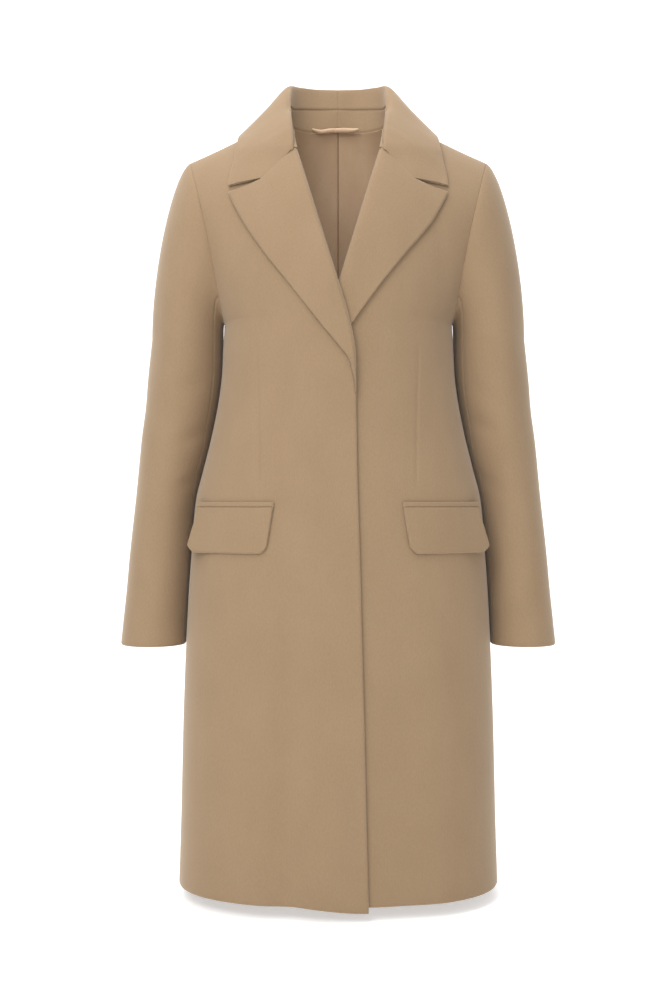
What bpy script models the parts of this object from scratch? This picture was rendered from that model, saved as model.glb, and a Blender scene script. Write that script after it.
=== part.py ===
"""A camel wool overcoat, filled out as if worn and empty inside: knee length, single breasted,
with a notched collar, two-piece sleeves and flap pockets.

Metres, +Z up. The coat faces -Y and the wearer's right is -X. The origin lies midway between
the side neck points, where the wearer's shoulders carry the coat.
"""

import math

import bpy
import numpy as np

# Cloth
WALL = 0.0028             # doubled wool of the body and the sleeves
FOLDED = 0.0036           # collar, lapels and flaps, two layers of wool
LINING = 0.0014
LINING_SHORT = 0.0012     # the lining stops this far inside the seams of the wool
SEAM_GAP = 0.0002         # each piece stops this far short of its seam line
LAY_GAP = 0.0006          # between a panel and a piece that lies on it

# Body
HEM_Z = -1.024
UNDERARM_Z = -0.280
UNDERARM_X = 0.153
NECK_X = 0.077            # side neck point
SHOULDER_X = 0.199        # outer end of the shoulder seam
SHOULDER_FALL = 0.57      # slope of the shoulder seam at the neck, easing outwards
SHOULDER_SLOPE = 0.456    # its mean slope
BACK_NECK = 0.868         # height of the back neck point, as a share of the way up
BREAK_Z = -0.327          # where the lapel's roll leaves the front edge
GORGE_X, GORGE_Z = 0.059, -0.056    # where it meets the collar
RIGHT_ROLL = (0.0225, 0.0010)       # how far past the middle it starts, and its bow
LEFT_ROLL = (0.0220, 0.0010)        # the same for the left lapel, which the right front covers
LEFT_TURN_Z = -0.420      # from here up the left front's edge draws back to its roll line
OVERLAP_RISE = 0.0060     # the right front lies this far outside the left one
CROSSING_RISE = 0.0014    # and this much more where it crosses the left lapel
CHEST_CURVE = 0.80        # how the front falls back to the shoulder
BACK_CURVE = 0.36         # how the back does at its middle, which is fuller than its sides

# Half-width to the side seam, depths of front and back, and squareness, by height.
BODY = {
    "z": (-1.024, -0.934, -0.799, -0.664, -0.583, -0.516, -0.475, -0.435, -0.394, -0.354, -0.306, -0.280),
    "half": (0.2130, 0.2103, 0.2073, 0.2019, 0.1966, 0.1911, 0.1811, 0.1712, 0.1627, 0.1569, 0.1543, 0.1530),
    "front": (0.155, 0.152, 0.148, 0.144, 0.140, 0.134, 0.130, 0.127, 0.126, 0.127, 0.128, 0.128),
    "back": (0.150, 0.147, 0.143, 0.139, 0.135, 0.125, 0.117, 0.110, 0.106, 0.106, 0.110, 0.113),
    "square": (2.45, 2.45, 2.42, 2.40, 2.38, 2.34, 2.30, 2.26, 2.22, 2.20, 2.20, 2.20),
    "edge": (0.0375, 0.0350, 0.0320, 0.0285, 0.0265, 0.0245, 0.0235, 0.0228, 0.0222, 0.0219, 0.0215, 0.0215),
}

TROUGHS = {"x": (-0.052, 0.078), "wide": (0.022, 0.030), "deep": (0.0026, 0.0018)}
EDGE_DIP = 0.006          # the right front's corner hangs this much lower at the hem

# Sleeve rings below the underarm: inner and outer side, depth either way, and middle.
SLEEVE = {
    "z": (-0.708, -0.678, -0.637, -0.583, -0.516, -0.475, -0.435, -0.394, -0.354, -0.300),
    "inner": (0.2048, 0.2036, 0.2017, 0.1978, 0.1914, 0.1814, 0.1716, 0.1632, 0.1574, 0.1558),
    "outer": (0.2915, 0.2890, 0.2850, 0.2807, 0.2742, 0.2704, 0.2662, 0.2615, 0.2582, 0.2520),
    "depth": (0.052, 0.053, 0.055, 0.057, 0.060, 0.062, 0.064, 0.066, 0.068, 0.070),
    "mid": (-0.008, -0.003, 0.000, 0.005, 0.012, 0.015, 0.017, 0.018, 0.016, 0.012),
    "turn": (22.0, 22.0, 21.0, 19.0, 15.0, 11.0, 7.0, 3.0, 1.0, 0.0),
}
SLEEVE_ROWS = (0.10, 0.24, 0.42, 0.62, 0.82)     # along the sleeve head, armhole to underarm
FRONT_SEAM, BACK_SEAM = 8, 13                    # columns round the sleeve

# Collar, from the middle of the back round to its front end: the fold, the free edge, how much
# of the way down to the neck seam the inside of the collar reaches, how far the fold rolls, and
# how far inside it the collar's inside hangs.
COLLAR = {
    "q": (0.0, 0.16, 0.30, 0.42, 0.54, 0.66, 0.78, 0.89, 1.0),
    "fold_x": (0.000, 0.031, 0.054, 0.0660, 0.0680, 0.0655, 0.0630, 0.0608, 0.0590),
    "fold_y": (0.080, 0.076, 0.063, 0.0430, 0.0190, -0.0020, -0.0262, -0.0500, -0.0670),
    "fold_z": (0.060, 0.0598, 0.059, 0.0550, 0.0365, 0.0095, -0.0200, -0.0400, -0.0550),
    "edge_x": (0.000, 0.046, 0.088, 0.1170, 0.1325, 0.1350, 0.1385, 0.1420, 0.1390),
    "edge_y": (0.089, 0.078, 0.058, 0.0360, 0.0100, -0.0240, -0.0455, -0.0570, -0.0650),
    "edge_z": (-0.012, -0.014, -0.019, -0.0230, -0.0230, -0.0430, -0.0700, -0.0900, -0.1030),
    "inner": (0.44, 0.44, 0.44, 0.44, 0.46, 0.76, 0.66, 0.45, 0.30),
    "roll": (0.011, 0.011, 0.012, 0.0120, 0.0120, 0.0120, 0.0100, 0.0060, 0.0030),
    "tuck": (0.0035, 0.0035, 0.0035, 0.0035, 0.0035, 0.0040, 0.0045, 0.0062, 0.0068),
}
COLLAR_LIFT = 0.0036      # the middle of the collar's cloth off the chest
GORGE_LIFT = 0.0048       # and this much more by the gorge, where the chest slopes most
GORGE_GAP = 0.0010        # collar and lapel each stop this far or twice short of the gorge
STAND_GAP = 0.0004        # between the stand and the body
STAND_TOP_GAP = 0.0012    # between the stand and the collar at the back
STAND_SIDE_GAP = 0.0016   # and this much more at the sides, where the collar turns
STAND_END = 0.61          # how far round the separate stand reaches
NOTCH_X, NOTCH_Z = 0.0980, -0.0985    # inner end of the notch
NOTCH_SHARE = 0.52        # where it lies between the gorge and the free edge

# Lapel, from the break up to its tip: the outer edge.
LAPEL = {
    "k": (0.0, 0.2, 0.4, 0.6, 0.8, 0.94, 1.0),
    "right_x": (-0.0108, 0.0290, 0.0625, 0.0935, 0.1204, 0.1370, 0.1435),
    "left_x": (-0.0108, 0.0222, 0.0538, 0.0853, 0.1178, 0.1355, 0.1435),
    "edge_z": (-0.3337, -0.2850, -0.2411, -0.2010, -0.1610, -0.1320, -0.1120),
}
LAPEL_ROWS = (0.0, 0.12, 0.26, 0.40, 0.54, 0.68, 0.80, 0.90, 1.0)
# Across the lapel: place between roll line and edge, step towards the neck, and lift.
LAPEL_ACROSS = {
    "t": (0.0, 0.0, 0.0, 0.06, 0.18, 0.34, 0.52, 0.70, 0.86, 1.0),
    "step": (0.0036, 0.0034, 0.0012, 0.0, 0.0, 0.0, 0.0, 0.0, 0.0, 0.0),
    "lift": (-0.0008, 0.0014, 0.0036, 0.0042, 0.0040, 0.0036, 0.0032, 0.0030, 0.0029, 0.0028),
}
LAPEL_HIDDEN_LIFT = 0.0027   # the left lapel lies flatter where the right front covers it

# Pocket on one side: top and bottom corners of the flap, and of the welt above it.
FLAP_TOP_X, FLAP_LOW_X = (0.0830, 0.1820), (0.0905, 0.1970)
FLAP_TOP_Z, FLAP_LOW_Z = -0.5256, -0.5835
FLAP_CORNER = 0.009       # rise of the rounded lower corners
FLAP_STAND_OFF = 0.005    # the flap's outer end stands away from the hip
WELT_X, WELT_Z = (0.0820, 0.1845), (-0.5248, -0.5185)
WELT_WALL = 0.0020
POCKET_GAP = 0.0009       # under the welt and the flap
POCKET_FLAT_X = 0.165     # past here the pocket goes on straight, off the rounding hip

# Hanger loop at the back neck
LOOP_HALF = 0.0315
LOOP_TALL, LOOP_WALL = 0.0060, 0.0018
LOOP_Z = 0.0005


def profile(table, key, column, at):
    """A smooth curve through one column of a table, read at one place."""
    places = table[key]
    values = table[column]
    at = min(max(at, places[0]), places[-1])
    i = min(max(int(np.searchsorted(places, at, side="right")) - 1, 0), len(places) - 2)

    def slope(j):
        low, high = max(j - 1, 0), min(j + 1, len(places) - 1)
        return (values[high] - values[low]) / (places[high] - places[low])

    step = places[i + 1] - places[i]
    t = (at - places[i]) / step
    return (
        (1 + 2 * t) * (1 - t) ** 2 * values[i]
        + t * (1 - t) ** 2 * step * slope(i)
        + t * t * (3 - 2 * t) * values[i + 1]
        + t * t * (t - 1) * step * slope(i + 1)
    )


def ease(low, high, at):
    """0 at low, 1 at high, and smooth between them; low may be the greater."""
    t = min(max((at - low) / (high - low), 0.0), 1.0)
    return t * t * (3 - 2 * t)


def bezier(a, b, c, d, t):
    return a * (1 - t) ** 3 + b * 3 * t * (1 - t) ** 2 + c * 3 * t * t * (1 - t) + d * t**3


def unit(vectors):
    return vectors / np.maximum(np.linalg.norm(vectors, axis=-1, keepdims=True), 1e-12)


# ---------------------------------------------------------------- the garment's surface


def shoulder_z(x):
    run = abs(x) - NECK_X
    return -SHOULDER_FALL * run + SHOULDER_FALL * run * run


def underarm_reach(x, square, half):
    """1 at the middle of the chest and 0 at the side, along a superellipse."""
    return max(1 - (abs(x) / half) ** square, 0.0) ** (1 / square)


def body_y(x, z, back=False):
    """Depth of the outer surface at one place of the front, or of the back."""
    side = "back" if back else "front"
    low = min(z, UNDERARM_Z)
    depth = profile(BODY, "z", side, low)
    square = profile(BODY, "z", "square", low)
    if z <= UNDERARM_Z:
        y = depth * underarm_reach(x, square, profile(BODY, "z", "half", z))
    else:
        up = min((z - UNDERARM_Z) / (shoulder_z(x) - UNDERARM_Z), 1.0)
        half = UNDERARM_X + 0.09 * up + 0.07 * up**4
        middle = BACK_CURVE + 0.12 * ease(0.0, 0.15, abs(x)) if back else CHEST_CURVE
        y = depth * underarm_reach(x, square, half) * max(1 - up * up, 0.0) ** middle
    return y if back else -y


def armhole_x(up):
    return UNDERARM_X + 0.033 * up + 0.013 * up * up


def roll_x(z, upper):
    """The lapel's roll line, from the break up to the gorge."""
    start, bow = RIGHT_ROLL if upper else LEFT_ROLL
    t = (z - BREAK_Z) / (GORGE_Z - BREAK_Z)
    return -start + (GORGE_X + start) * t + bow * math.sin(math.pi * t)


def free_edge_x(z, upper):
    """The front's free edge, from the hem up to the break and on along the roll line."""
    if z > BREAK_Z:
        return roll_x(z, upper)
    edge = -profile(BODY, "z", "edge", z)
    if upper:
        return edge
    return edge + (roll_x(BREAK_Z, upper) - edge) * ease(LEFT_TURN_Z, BREAK_Z, z)


def overlap_offset(x, z, upper):
    """How far a front moves out where one lies on the other; x grows towards the free edge."""
    crossing = ease(-0.42, -0.34, z)
    rise = OVERLAP_RISE + CROSSING_RISE * crossing if upper else -CROSSING_RISE * crossing
    return rise * ease(-0.078, -0.030, x) * ease(-0.150, -0.250, z)


def neck_up(x, low, start):
    """Height of a panel's top edge, as a share of the way up: 1 along the shoulder seam."""
    t = min(max((abs(x) - start) / (NECK_X - start), 0.0), 1.0)
    return low + (1 - low) * t**1.6


def drape(x, z):
    """Soft troughs that run down the skirt of the fronts; x is the coat's own."""
    return ease(-0.52, -0.78, z) * sum(
        deep * math.exp(-(((x - at) / wide) ** 2))
        for at, wide, deep in zip(TROUGHS["x"], TROUGHS["wide"], TROUGHS["deep"])
    )


LOW_ROWS = (
    HEM_Z, -0.95, -0.86, -0.77, -0.69, -0.63, -0.575, -0.53,
    -0.49, -0.455, -0.42, -0.385, -0.352, BREAK_Z, -0.302,
)
UP_ROWS = tuple((1 - math.cos(math.pi * i / 10)) / 2 for i in range(11))
FRONT_NECK = math.asin((NECK_X - GORGE_X) / (SHOULDER_X - GORGE_X)) * 2 / math.pi
BACK_NECK_SPAN = math.asin(NECK_X / SHOULDER_X) * 2 / math.pi
NECK_STEPS = 4
FRONT_COLUMNS = tuple(FRONT_NECK * i / NECK_STEPS for i in range(NECK_STEPS + 1)) + (
    0.20, 0.30, 0.40, 0.50, 0.60, 0.70, 0.80, 0.90, 1.0)
BACK_COLUMNS = tuple(BACK_NECK_SPAN * i / NECK_STEPS for i in range(NECK_STEPS + 1)) + (
    0.35, 0.45, 0.56, 0.68, 0.80, 0.90, 1.0)
NECK_SHARES = (0.0, 0.13, 0.27, 0.40, 0.54, 0.66, 0.78, 0.89, 1.0)
COLLAR_ACROSS = (-1.0, -0.5, -0.18, 0.0, 0.12, 0.26, 0.39, 0.52, 0.68, 0.84, 1.0)
GORGE_UP = (GORGE_Z - UNDERARM_Z) / (shoulder_z(GORGE_X) - UNDERARM_Z)


def front_grid(upper):
    """Outer points of the wearer's left front, hem upwards and from the free edge to the side.
    x grows towards the side here, and the right front is its mirror image."""
    rows = []
    for z in LOW_ROWS:
        half = profile(BODY, "z", "half", z)
        inner = free_edge_x(z, upper)
        row = []
        for t in FRONT_COLUMNS:
            x = inner + (half - inner) * math.sin(math.pi / 2 * t)
            y = body_y(x, z) - overlap_offset(-x, z, upper) + drape(-x if upper else x, z)
            dip = EDGE_DIP * ease(0.06, -0.03, x) * ease(-0.90, HEM_Z, z) if upper else 0.0
            row.append((x, y, z - dip))
        rows.append(row)
    for share in UP_ROWS:
        inner = roll_x(UNDERARM_Z, upper)
        for _ in range(6):
            inner = roll_x(UNDERARM_Z + share * GORGE_UP * (shoulder_z(inner) - UNDERARM_Z), upper)
        row = []
        for t in FRONT_COLUMNS:
            x = inner + (armhole_x(share) - inner) * math.sin(math.pi / 2 * t)
            up = share * neck_up(x, GORGE_UP, GORGE_X)
            z = UNDERARM_Z + up * (shoulder_z(x) - UNDERARM_Z)
            row.append((x, body_y(x, z) - overlap_offset(-x, z, upper), z))
        rows.append(row)
    return np.array(rows)


def back_grid():
    """Outer points of the left back, hem upwards and from the centre seam to the side."""
    rows = []
    for z in LOW_ROWS:
        half = profile(BODY, "z", "half", z)
        xs = [half * math.sin(math.pi / 2 * t) for t in BACK_COLUMNS]
        rows.append([(x, body_y(x, z, back=True), z) for x in xs])
    for share in UP_ROWS:
        row = []
        for t in BACK_COLUMNS:
            x = armhole_x(share) * math.sin(math.pi / 2 * t)
            up = share * neck_up(x, BACK_NECK, 0.0)
            z = UNDERARM_Z + up * (shoulder_z(x) - UNDERARM_Z)
            row.append((x, body_y(x, z, back=True), z))
        rows.append(row)
    return np.array(rows)


def grid_normals(grid, outward):
    """Unit normals of a grid of points, on the side that the vector outward points to."""
    along = np.gradient(grid, axis=0)
    across = np.gradient(grid, axis=1)
    normals = unit(np.cross(across, along))
    if (normals * outward).sum() < 0:
        normals = -normals
    return normals


def body_walls(upper):
    """Outer and inner points of a left front and a left back that share their seams."""
    front, back = front_grid(upper), back_grid()
    front_n = grid_normals(front, (0, -1, 0))
    back_n = grid_normals(back, (0, 1, 0))
    low = len(LOW_ROWS) + 1
    side = unit(front_n[:low, -1] + back_n[:low, -1])
    front_n[:low, -1] = side
    back_n[:low, -1] = side
    back_n[:, 0, 0] = 0.0
    shoulder = unit(np.array((SHOULDER_SLOPE, 0.0, 1.0)))
    front_n[-1, NECK_STEPS:] = shoulder
    back_n[-1, NECK_STEPS:] = shoulder
    back_n = unit(back_n)
    return (front, front - front_n * WALL), (back, back - back_n * WALL)


def draw_in(grid, *edges, gap=SEAM_GAP):
    """The grid with some of its edges moved in a little towards their neighbours."""
    grid = grid.copy()
    for edge in edges:
        first, second = {
            "first_row": (np.s_[0], np.s_[1]),
            "last_row": (np.s_[-1], np.s_[-2]),
            "first_column": (np.s_[:, 0], np.s_[:, 1]),
            "last_column": (np.s_[:, -1], np.s_[:, -2]),
        }[edge]
        grid[first] += unit(grid[second] - grid[first]) * gap
    return grid


# ---------------------------------------------------------------- solids


def finish(name, colour, roughness):
    material = bpy.data.materials.new(name)
    material.use_nodes = True
    shader = material.node_tree.nodes["Principled BSDF"]
    shader.inputs["Base Color"].default_value = (*colour, 1.0)
    shader.inputs["Roughness"].default_value = roughness
    shader.inputs["Metallic"].default_value = 0.0
    return material


def clear_scene():
    for thing in list(bpy.data.objects):
        bpy.data.objects.remove(thing, do_unlink=True)


def wall(name, outer, inner, material, mirror=False):
    """A closed piece of cloth between two grids of points, seen from outside."""
    rows, columns = outer.shape[:2]
    points = np.concatenate([outer.reshape(-1, 3), inner.reshape(-1, 3)])
    if mirror:
        points = points * (-1, 1, 1)
    shift = rows * columns
    faces = []
    for i in range(rows - 1):
        for j in range(columns - 1):
            a = i * columns + j
            b, c, d = a + 1, a + columns + 1, a + columns
            faces.append((a, b, c, d))
            faces.append((shift + a, shift + d, shift + c, shift + b))
    rim = [j for j in range(columns)]
    rim += [i * columns + columns - 1 for i in range(1, rows)]
    rim += [(rows - 1) * columns + j for j in range(columns - 2, -1, -1)]
    rim += [i * columns for i in range(rows - 2, 0, -1)]
    for a, b in zip(rim, rim[1:] + rim[:1]):
        faces.append((b, a, shift + a, shift + b))
    mesh = bpy.data.meshes.new(name)
    mesh.from_pydata([tuple(p) for p in points], [], faces)
    corners = points[np.array(faces)]
    volume = np.einsum("ij,ij->i", corners[:, 0], np.cross(corners[:, 1], corners[:, 2]))
    volume += np.einsum("ij,ij->i", corners[:, 0], np.cross(corners[:, 2], corners[:, 3]))
    if volume.sum() < 0:
        mesh.flip_normals()
    mesh.materials.append(material)
    mesh.shade_smooth()
    mesh.set_sharp_from_angle(angle=math.radians(50))
    thing = bpy.data.objects.new(name, mesh)
    coat.objects.link(thing)
    return thing


def make_fronts():
    """Two fronts, the right one lying over the left."""
    for name, upper in (("right_front", True), ("left_front", False)):
        (outer, inner), _ = body_walls(upper)
        edges = ("last_row", "last_column")
        wall(name, draw_in(outer, *edges), draw_in(inner, *edges), wool, mirror=upper)


def make_backs():
    """Two backs, seamed down the middle."""
    for name, mirror in (("right_back", True), ("left_back", False)):
        _, (outer, inner) = body_walls(upper=False)
        edges = ("last_row", "last_column", "first_column")
        wall(name, draw_in(outer, *edges), draw_in(inner, *edges), wool, mirror)


def make_lining():
    """The back's lining, just inside the wool, in two halves."""
    _, (outer, inner) = body_walls(upper=False)
    inward = unit(inner - outer)
    columns = [0, 2, 4, 5, 7, 9, 11]
    grids = []
    for depth in (LAY_GAP, LAY_GAP + LINING):
        grid = (inner + inward * depth)[1:, columns]
        grids.append(draw_in(draw_in(grid, "last_row", "last_column", gap=LINING_SHORT), "first_column"))
    for name, mirror in (("right_back_lining", True), ("left_back_lining", False)):
        wall(name, *grids, satin, mirror)


# ---------------------------------------------------------------- sleeves


def armhole():
    """Outer and inner points round the armhole, from the shoulder forwards and round."""
    (front, front_in), (back, back_in) = body_walls(upper=False)
    first = len(LOW_ROWS)
    loops = []
    for f, b in ((front, back), (front_in, back_in)):
        loops.append(np.concatenate([f[first:, -1][::-1], b[first:, -1][1:]]))
    return loops


def sleeve_ring(z, angles):
    columns = ("inner", "outer", "depth", "mid", "turn")
    inner, outer, depth, mid, turn = (profile(SLEEVE, "z", column, z) for column in columns)
    points = []
    for angle in angles:
        at = angle + math.radians(turn) * math.sin(angle)
        points.append((
            (outer + inner) / 2 + (outer - inner) / 2 * math.cos(at),
            mid - depth * math.sin(at),
            z,
        ))
    return np.array(points)


def sleeve_grids():
    start, start_in = armhole()
    start = start[:-1]
    start_in = start_in[:-1]
    count = len(start)
    angles = [2 * math.pi * i / count for i in range(count)]
    ring = sleeve_ring(SLEEVE["z"][-1], angles)
    rows = [start]
    for t in SLEEVE_ROWS:
        row = []
        for angle, a, r in zip(angles, start, ring):
            near_top = (1 + math.cos(angle)) / 2
            lift = np.array((
                0.002 + 0.021 * near_top**0.6,
                -0.006 * math.sin(angle),
                -0.010 * near_top + 0.007 * (1 - near_top) ** 3,
            ))
            drop = np.array((0, 0, 0.006 + 0.094 * near_top))
            row.append(bezier(a, a + lift, r + drop, r, t))
        rows.append(np.array(row))
    for z in reversed(SLEEVE["z"]):
        rows.append(sleeve_ring(z, angles))
    outer = np.array(rows)
    closed = np.concatenate([outer[:, -1:], outer, outer[:, :1]], axis=1)
    along = np.gradient(closed, axis=0)
    across = np.gradient(closed, axis=1)
    normals = unit(np.cross(along, across))[:, 1:-1]
    centre = outer.mean(axis=1, keepdims=True)
    if (normals[-3:] * (outer - centre)[-3:]).sum() < 0:
        normals = -normals
    inner = outer - normals * WALL
    inner[0] = start_in
    return outer, inner


def make_sleeves():
    """Two-piece sleeves: the upper sleeve outside, the under sleeve next to the body."""
    outer, inner = sleeve_grids()
    count = outer.shape[1]
    pieces = {
        "upper_sleeve": [i % count for i in range(BACK_SEAM, FRONT_SEAM + count + 1)],
        "under_sleeve": list(range(FRONT_SEAM, BACK_SEAM + 1)),
    }
    edges = ("first_row", "first_column", "last_column")
    for piece, columns in pieces.items():
        for side, mirror in (("right", True), ("left", False)):
            wall(
                f"{side}_{piece}",
                draw_in(outer[:, columns], *edges),
                draw_in(inner[:, columns], *edges),
                wool,
                mirror,
            )


# ---------------------------------------------------------------- collar and lapels


def neck_rim():
    """Places round the neck seam, as shares from the centre back to the gorge, and the outer
    and inner points of the panels' edge there."""
    (front, front_in), (back, back_in) = body_walls(upper=False)
    outer = np.concatenate([back[-1, :NECK_STEPS], front[-1, NECK_STEPS::-1]])
    inner = np.concatenate([back_in[-1, :NECK_STEPS], front_in[-1, NECK_STEPS::-1]])
    return NECK_SHARES, outer, inner


def neck_point(q, points):
    return np.array([np.interp(q, NECK_SHARES, points[:, axis]) for axis in range(3)])


def gorge_line(share, tip):
    """Down the gorge seam to the notch, and on to the tip of the collar or of the lapel."""
    if share < NOTCH_SHARE:
        t = share / NOTCH_SHARE
        return GORGE_X + (NOTCH_X - GORGE_X) * t, GORGE_Z + (NOTCH_Z - GORGE_Z) * t
    t = (share - NOTCH_SHARE) / (1 - NOTCH_SHARE)
    return NOTCH_X + (tip[0] - NOTCH_X) * t, NOTCH_Z + (tip[1] - NOTCH_Z) * t


def halved(values):
    """The values with the middle of each step put between them."""
    values = np.array(values)
    out = np.empty((2 * len(values) - 1, *values.shape[1:]))
    out[::2] = values
    out[1::2] = (values[1:] + values[:-1]) / 2
    return out


def collar_frame(q, rim):
    """Fold, edge, lower end of the inside, and the way out, at one place round the neck."""
    fold = np.array([profile(COLLAR, "q", f"fold_{axis}", q) for axis in "xyz"])
    edge = np.array([profile(COLLAR, "q", f"edge_{axis}", q) for axis in "xyz"])
    fold[2] -= FOLDED / 2
    out = (edge - fold) * (1, 1, 0)
    if q > 0.6:
        out = out + np.array((0.0, -0.6 * ease(0.6, 1.0, q) * abs(out[0]), 0.0))
    out = out / np.linalg.norm(out)
    neck = (neck_point(q, rim[1]) + neck_point(q, rim[2])) / 2
    low = fold + (neck - fold) * profile(COLLAR, "q", "inner", q)
    low = low - out * profile(COLLAR, "q", "tuck", q)
    return fold, edge, low, out


def collar_point(q, across, rim):
    """The middle of the collar's cloth: inside the neck for across below 0, outside above."""
    fold, edge, low, out = collar_frame(q, rim)
    if across <= 0:
        return bezier(low, low + (fold - low) * 0.5, fold - out * 0.004, fold, 1 + across)
    roll = profile(COLLAR, "q", "roll", q)
    back = (fold - edge) * 0.28
    point = bezier(fold, fold + out * roll, edge + back, edge, across)
    end = ease(0.80, 1.0, q)
    x, z = gorge_line(across, (edge[0], edge[2]))
    point[0] += (x - point[0]) * end
    point[2] += (z - point[2]) * end
    if point[2] < shoulder_z(point[0]) and point[1] < 0.02:
        lift = COLLAR_LIFT + 0.004 * math.sin(math.pi * across) * (1 - end)
        lift += GORGE_LIFT * ease(-0.075, -0.050, point[2])
        nearest = body_y(point[0], point[2]) - lift
        point[1] = nearest if across * end > 0.99 else min(point[1], nearest)
    return point


def thicken(middle, outward, thickness):
    """Outer and inner points either side of the middle of the cloth."""
    along = np.gradient(middle, axis=0)
    across = np.gradient(middle, axis=1)
    normals = unit(np.cross(across, along))
    if (normals[:, -1] * outward).sum() < 0:
        normals = -normals
    return middle + normals * thickness / 2, middle - normals * thickness / 2


def both_sides(half):
    """Rows from the wearer's right end of the neck to the left, from the left half's rows."""
    return np.concatenate([half[:0:-1] * (-1, 1, 1), half])


def make_collar():
    rim = neck_rim()
    shares = halved(NECK_SHARES)
    half = np.array([[collar_point(q, across, rim) for across in COLLAR_ACROSS] for q in shares])
    outer, inner = thicken(both_sides(half), (0, 0, 1), FOLDED)
    grids = []
    for grid in (outer, inner):
        grids.append(draw_in(draw_in(grid, "first_column"), "first_row", "last_row", gap=GORGE_GAP))
    wall("upper_collar", *grids, wool)


def make_stand():
    """The stand, from the neck seam up to the collar's inside."""
    rim = neck_rim()
    half_out, half_in = [], []
    for q, a, b in zip(*(halved(values) for values in rim)):
        if q > STAND_END:
            break
        _, _, top, out = collar_frame(q, rim)
        middle = (a + b) / 2
        rise = unit(top - middle)
        top = top - rise * (STAND_TOP_GAP + STAND_SIDE_GAP * ease(0.42, 0.60, q))
        side = unit(np.cross(np.cross(out, rise), rise)) * -1
        half_out.append([a + rise * STAND_GAP, top + side * WALL / 2])
        half_in.append([b + rise * STAND_GAP, top - side * WALL / 2])
    wall("collar_stand", both_sides(np.array(half_out)), both_sides(np.array(half_in)), wool)


def lapel_point(k, t, step, lift, upper):
    """The middle of the lapel's cloth, k from the break to the gorge and t out to its edge."""
    roll_z = BREAK_Z + (GORGE_Z - BREAK_Z) * k
    edge_x = profile(LAPEL, "k", "right_x" if upper else "left_x", k)
    edge_z = profile(LAPEL, "k", "edge_z", k)
    x = roll_x(roll_z, upper) + (edge_x - roll_x(roll_z, upper)) * t
    z = roll_z + (edge_z - roll_z) * t
    top_x, top_z = gorge_line(t, (edge_x, edge_z))
    near_top = ease(0.70, 1.0, k)
    x += (top_x - x) * near_top
    z += (top_z - z) * near_top
    if not upper:
        lift = min(lift, LAPEL_HIDDEN_LIFT + 0.0015 * ease(0.0, 0.02, x))
    y = body_y(x, z) - overlap_offset(-x, z, upper) - lift
    return x - step * 0.95, y, z - step * 0.3


def make_lapels():
    for name, upper in (("right_lapel", True), ("left_lapel", False)):
        rows = []
        for k in LAPEL_ROWS:
            across = zip(LAPEL_ACROSS["t"], LAPEL_ACROSS["step"], LAPEL_ACROSS["lift"])
            rows.append([lapel_point(k, t, step, lift, upper) for t, step, lift in across])
        outer, inner = thicken(np.array(rows), (0, -1, 0), FOLDED)
        grids = [draw_in(grid, "last_row", gap=2 * GORGE_GAP) for grid in (outer, inner)]
        wall(name, *grids, wool, mirror=upper)


# ---------------------------------------------------------------- pockets and loop


def hip_y(x, z):
    """Depth of the front at the pocket, going on straight where the hip rounds away."""
    if abs(x) <= POCKET_FLAT_X:
        return body_y(x, z)
    slope = (body_y(POCKET_FLAT_X, z) - body_y(POCKET_FLAT_X - 0.01, z)) / 0.01
    return body_y(POCKET_FLAT_X, z) + slope * (abs(x) - POCKET_FLAT_X)


def make_pockets():
    for side, mirror in (("right", True), ("left", False)):
        welt = []
        for z in WELT_Z:
            row = []
            for i in range(8):
                x = WELT_X[0] + (WELT_X[1] - WELT_X[0]) * i / 7
                row.append((x, hip_y(x, z) - POCKET_GAP - WELT_WALL / 2, z))
            welt.append(row)
        outer, inner = thicken(np.array(welt), (0, -1, 0), WELT_WALL)
        wall(f"{side}_pocket_welt", outer, inner, wool, mirror)
        flap = []
        for down in (0.0, 0.3, 0.6, 0.85, 1.0):
            row = []
            for t in (0.0, 0.03, 0.10, 0.25, 0.40, 0.55, 0.70, 0.83, 0.93, 1.0):
                top = FLAP_TOP_X[0] + (FLAP_TOP_X[1] - FLAP_TOP_X[0]) * t
                low = FLAP_LOW_X[0] + (FLAP_LOW_X[1] - FLAP_LOW_X[0]) * t
                x = top + (low - top) * down
                corner = FLAP_CORNER * (max(1 - t / 0.10, 0) ** 2 + max((t - 0.90) / 0.10, 0) ** 2)
                z = FLAP_TOP_Z + (FLAP_LOW_Z + corner - FLAP_TOP_Z) * down
                lift = POCKET_GAP + FOLDED / 2 + FLAP_STAND_OFF * ease(0.6, 1.0, t) * ease(-0.1, 0.6, down)
                row.append((x, hip_y(x, z) - lift, z))
            flap.append(row)
        outer, inner = thicken(np.array(flap), (0, -1, 0), FOLDED)
        wall(f"{side}_pocket_flap", outer, inner, wool, mirror)


def make_loop():
    """The hanger loop, a flat strip whose ends are caught in the neck seam."""
    rows = []
    for z in (LOOP_Z - LOOP_TALL / 2, LOOP_Z + LOOP_TALL / 2):
        row = []
        for i in range(9):
            x = -LOOP_HALF + 2 * LOOP_HALF * i / 8
            bow = 1 - (x / LOOP_HALF) ** 2
            at = body_y(x, z - 0.002, back=True) - WALL - LAY_GAP - LINING - LAY_GAP
            row.append((x, at - 0.0012 - 0.0035 * bow, z - 0.002 * bow))
        rows.append(row)
    outer, inner = thicken(np.array(rows), (0, 1, 0), LOOP_WALL)
    wall("hanger_loop", outer, inner, satin)


# ---------------------------------------------------------------- main

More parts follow.
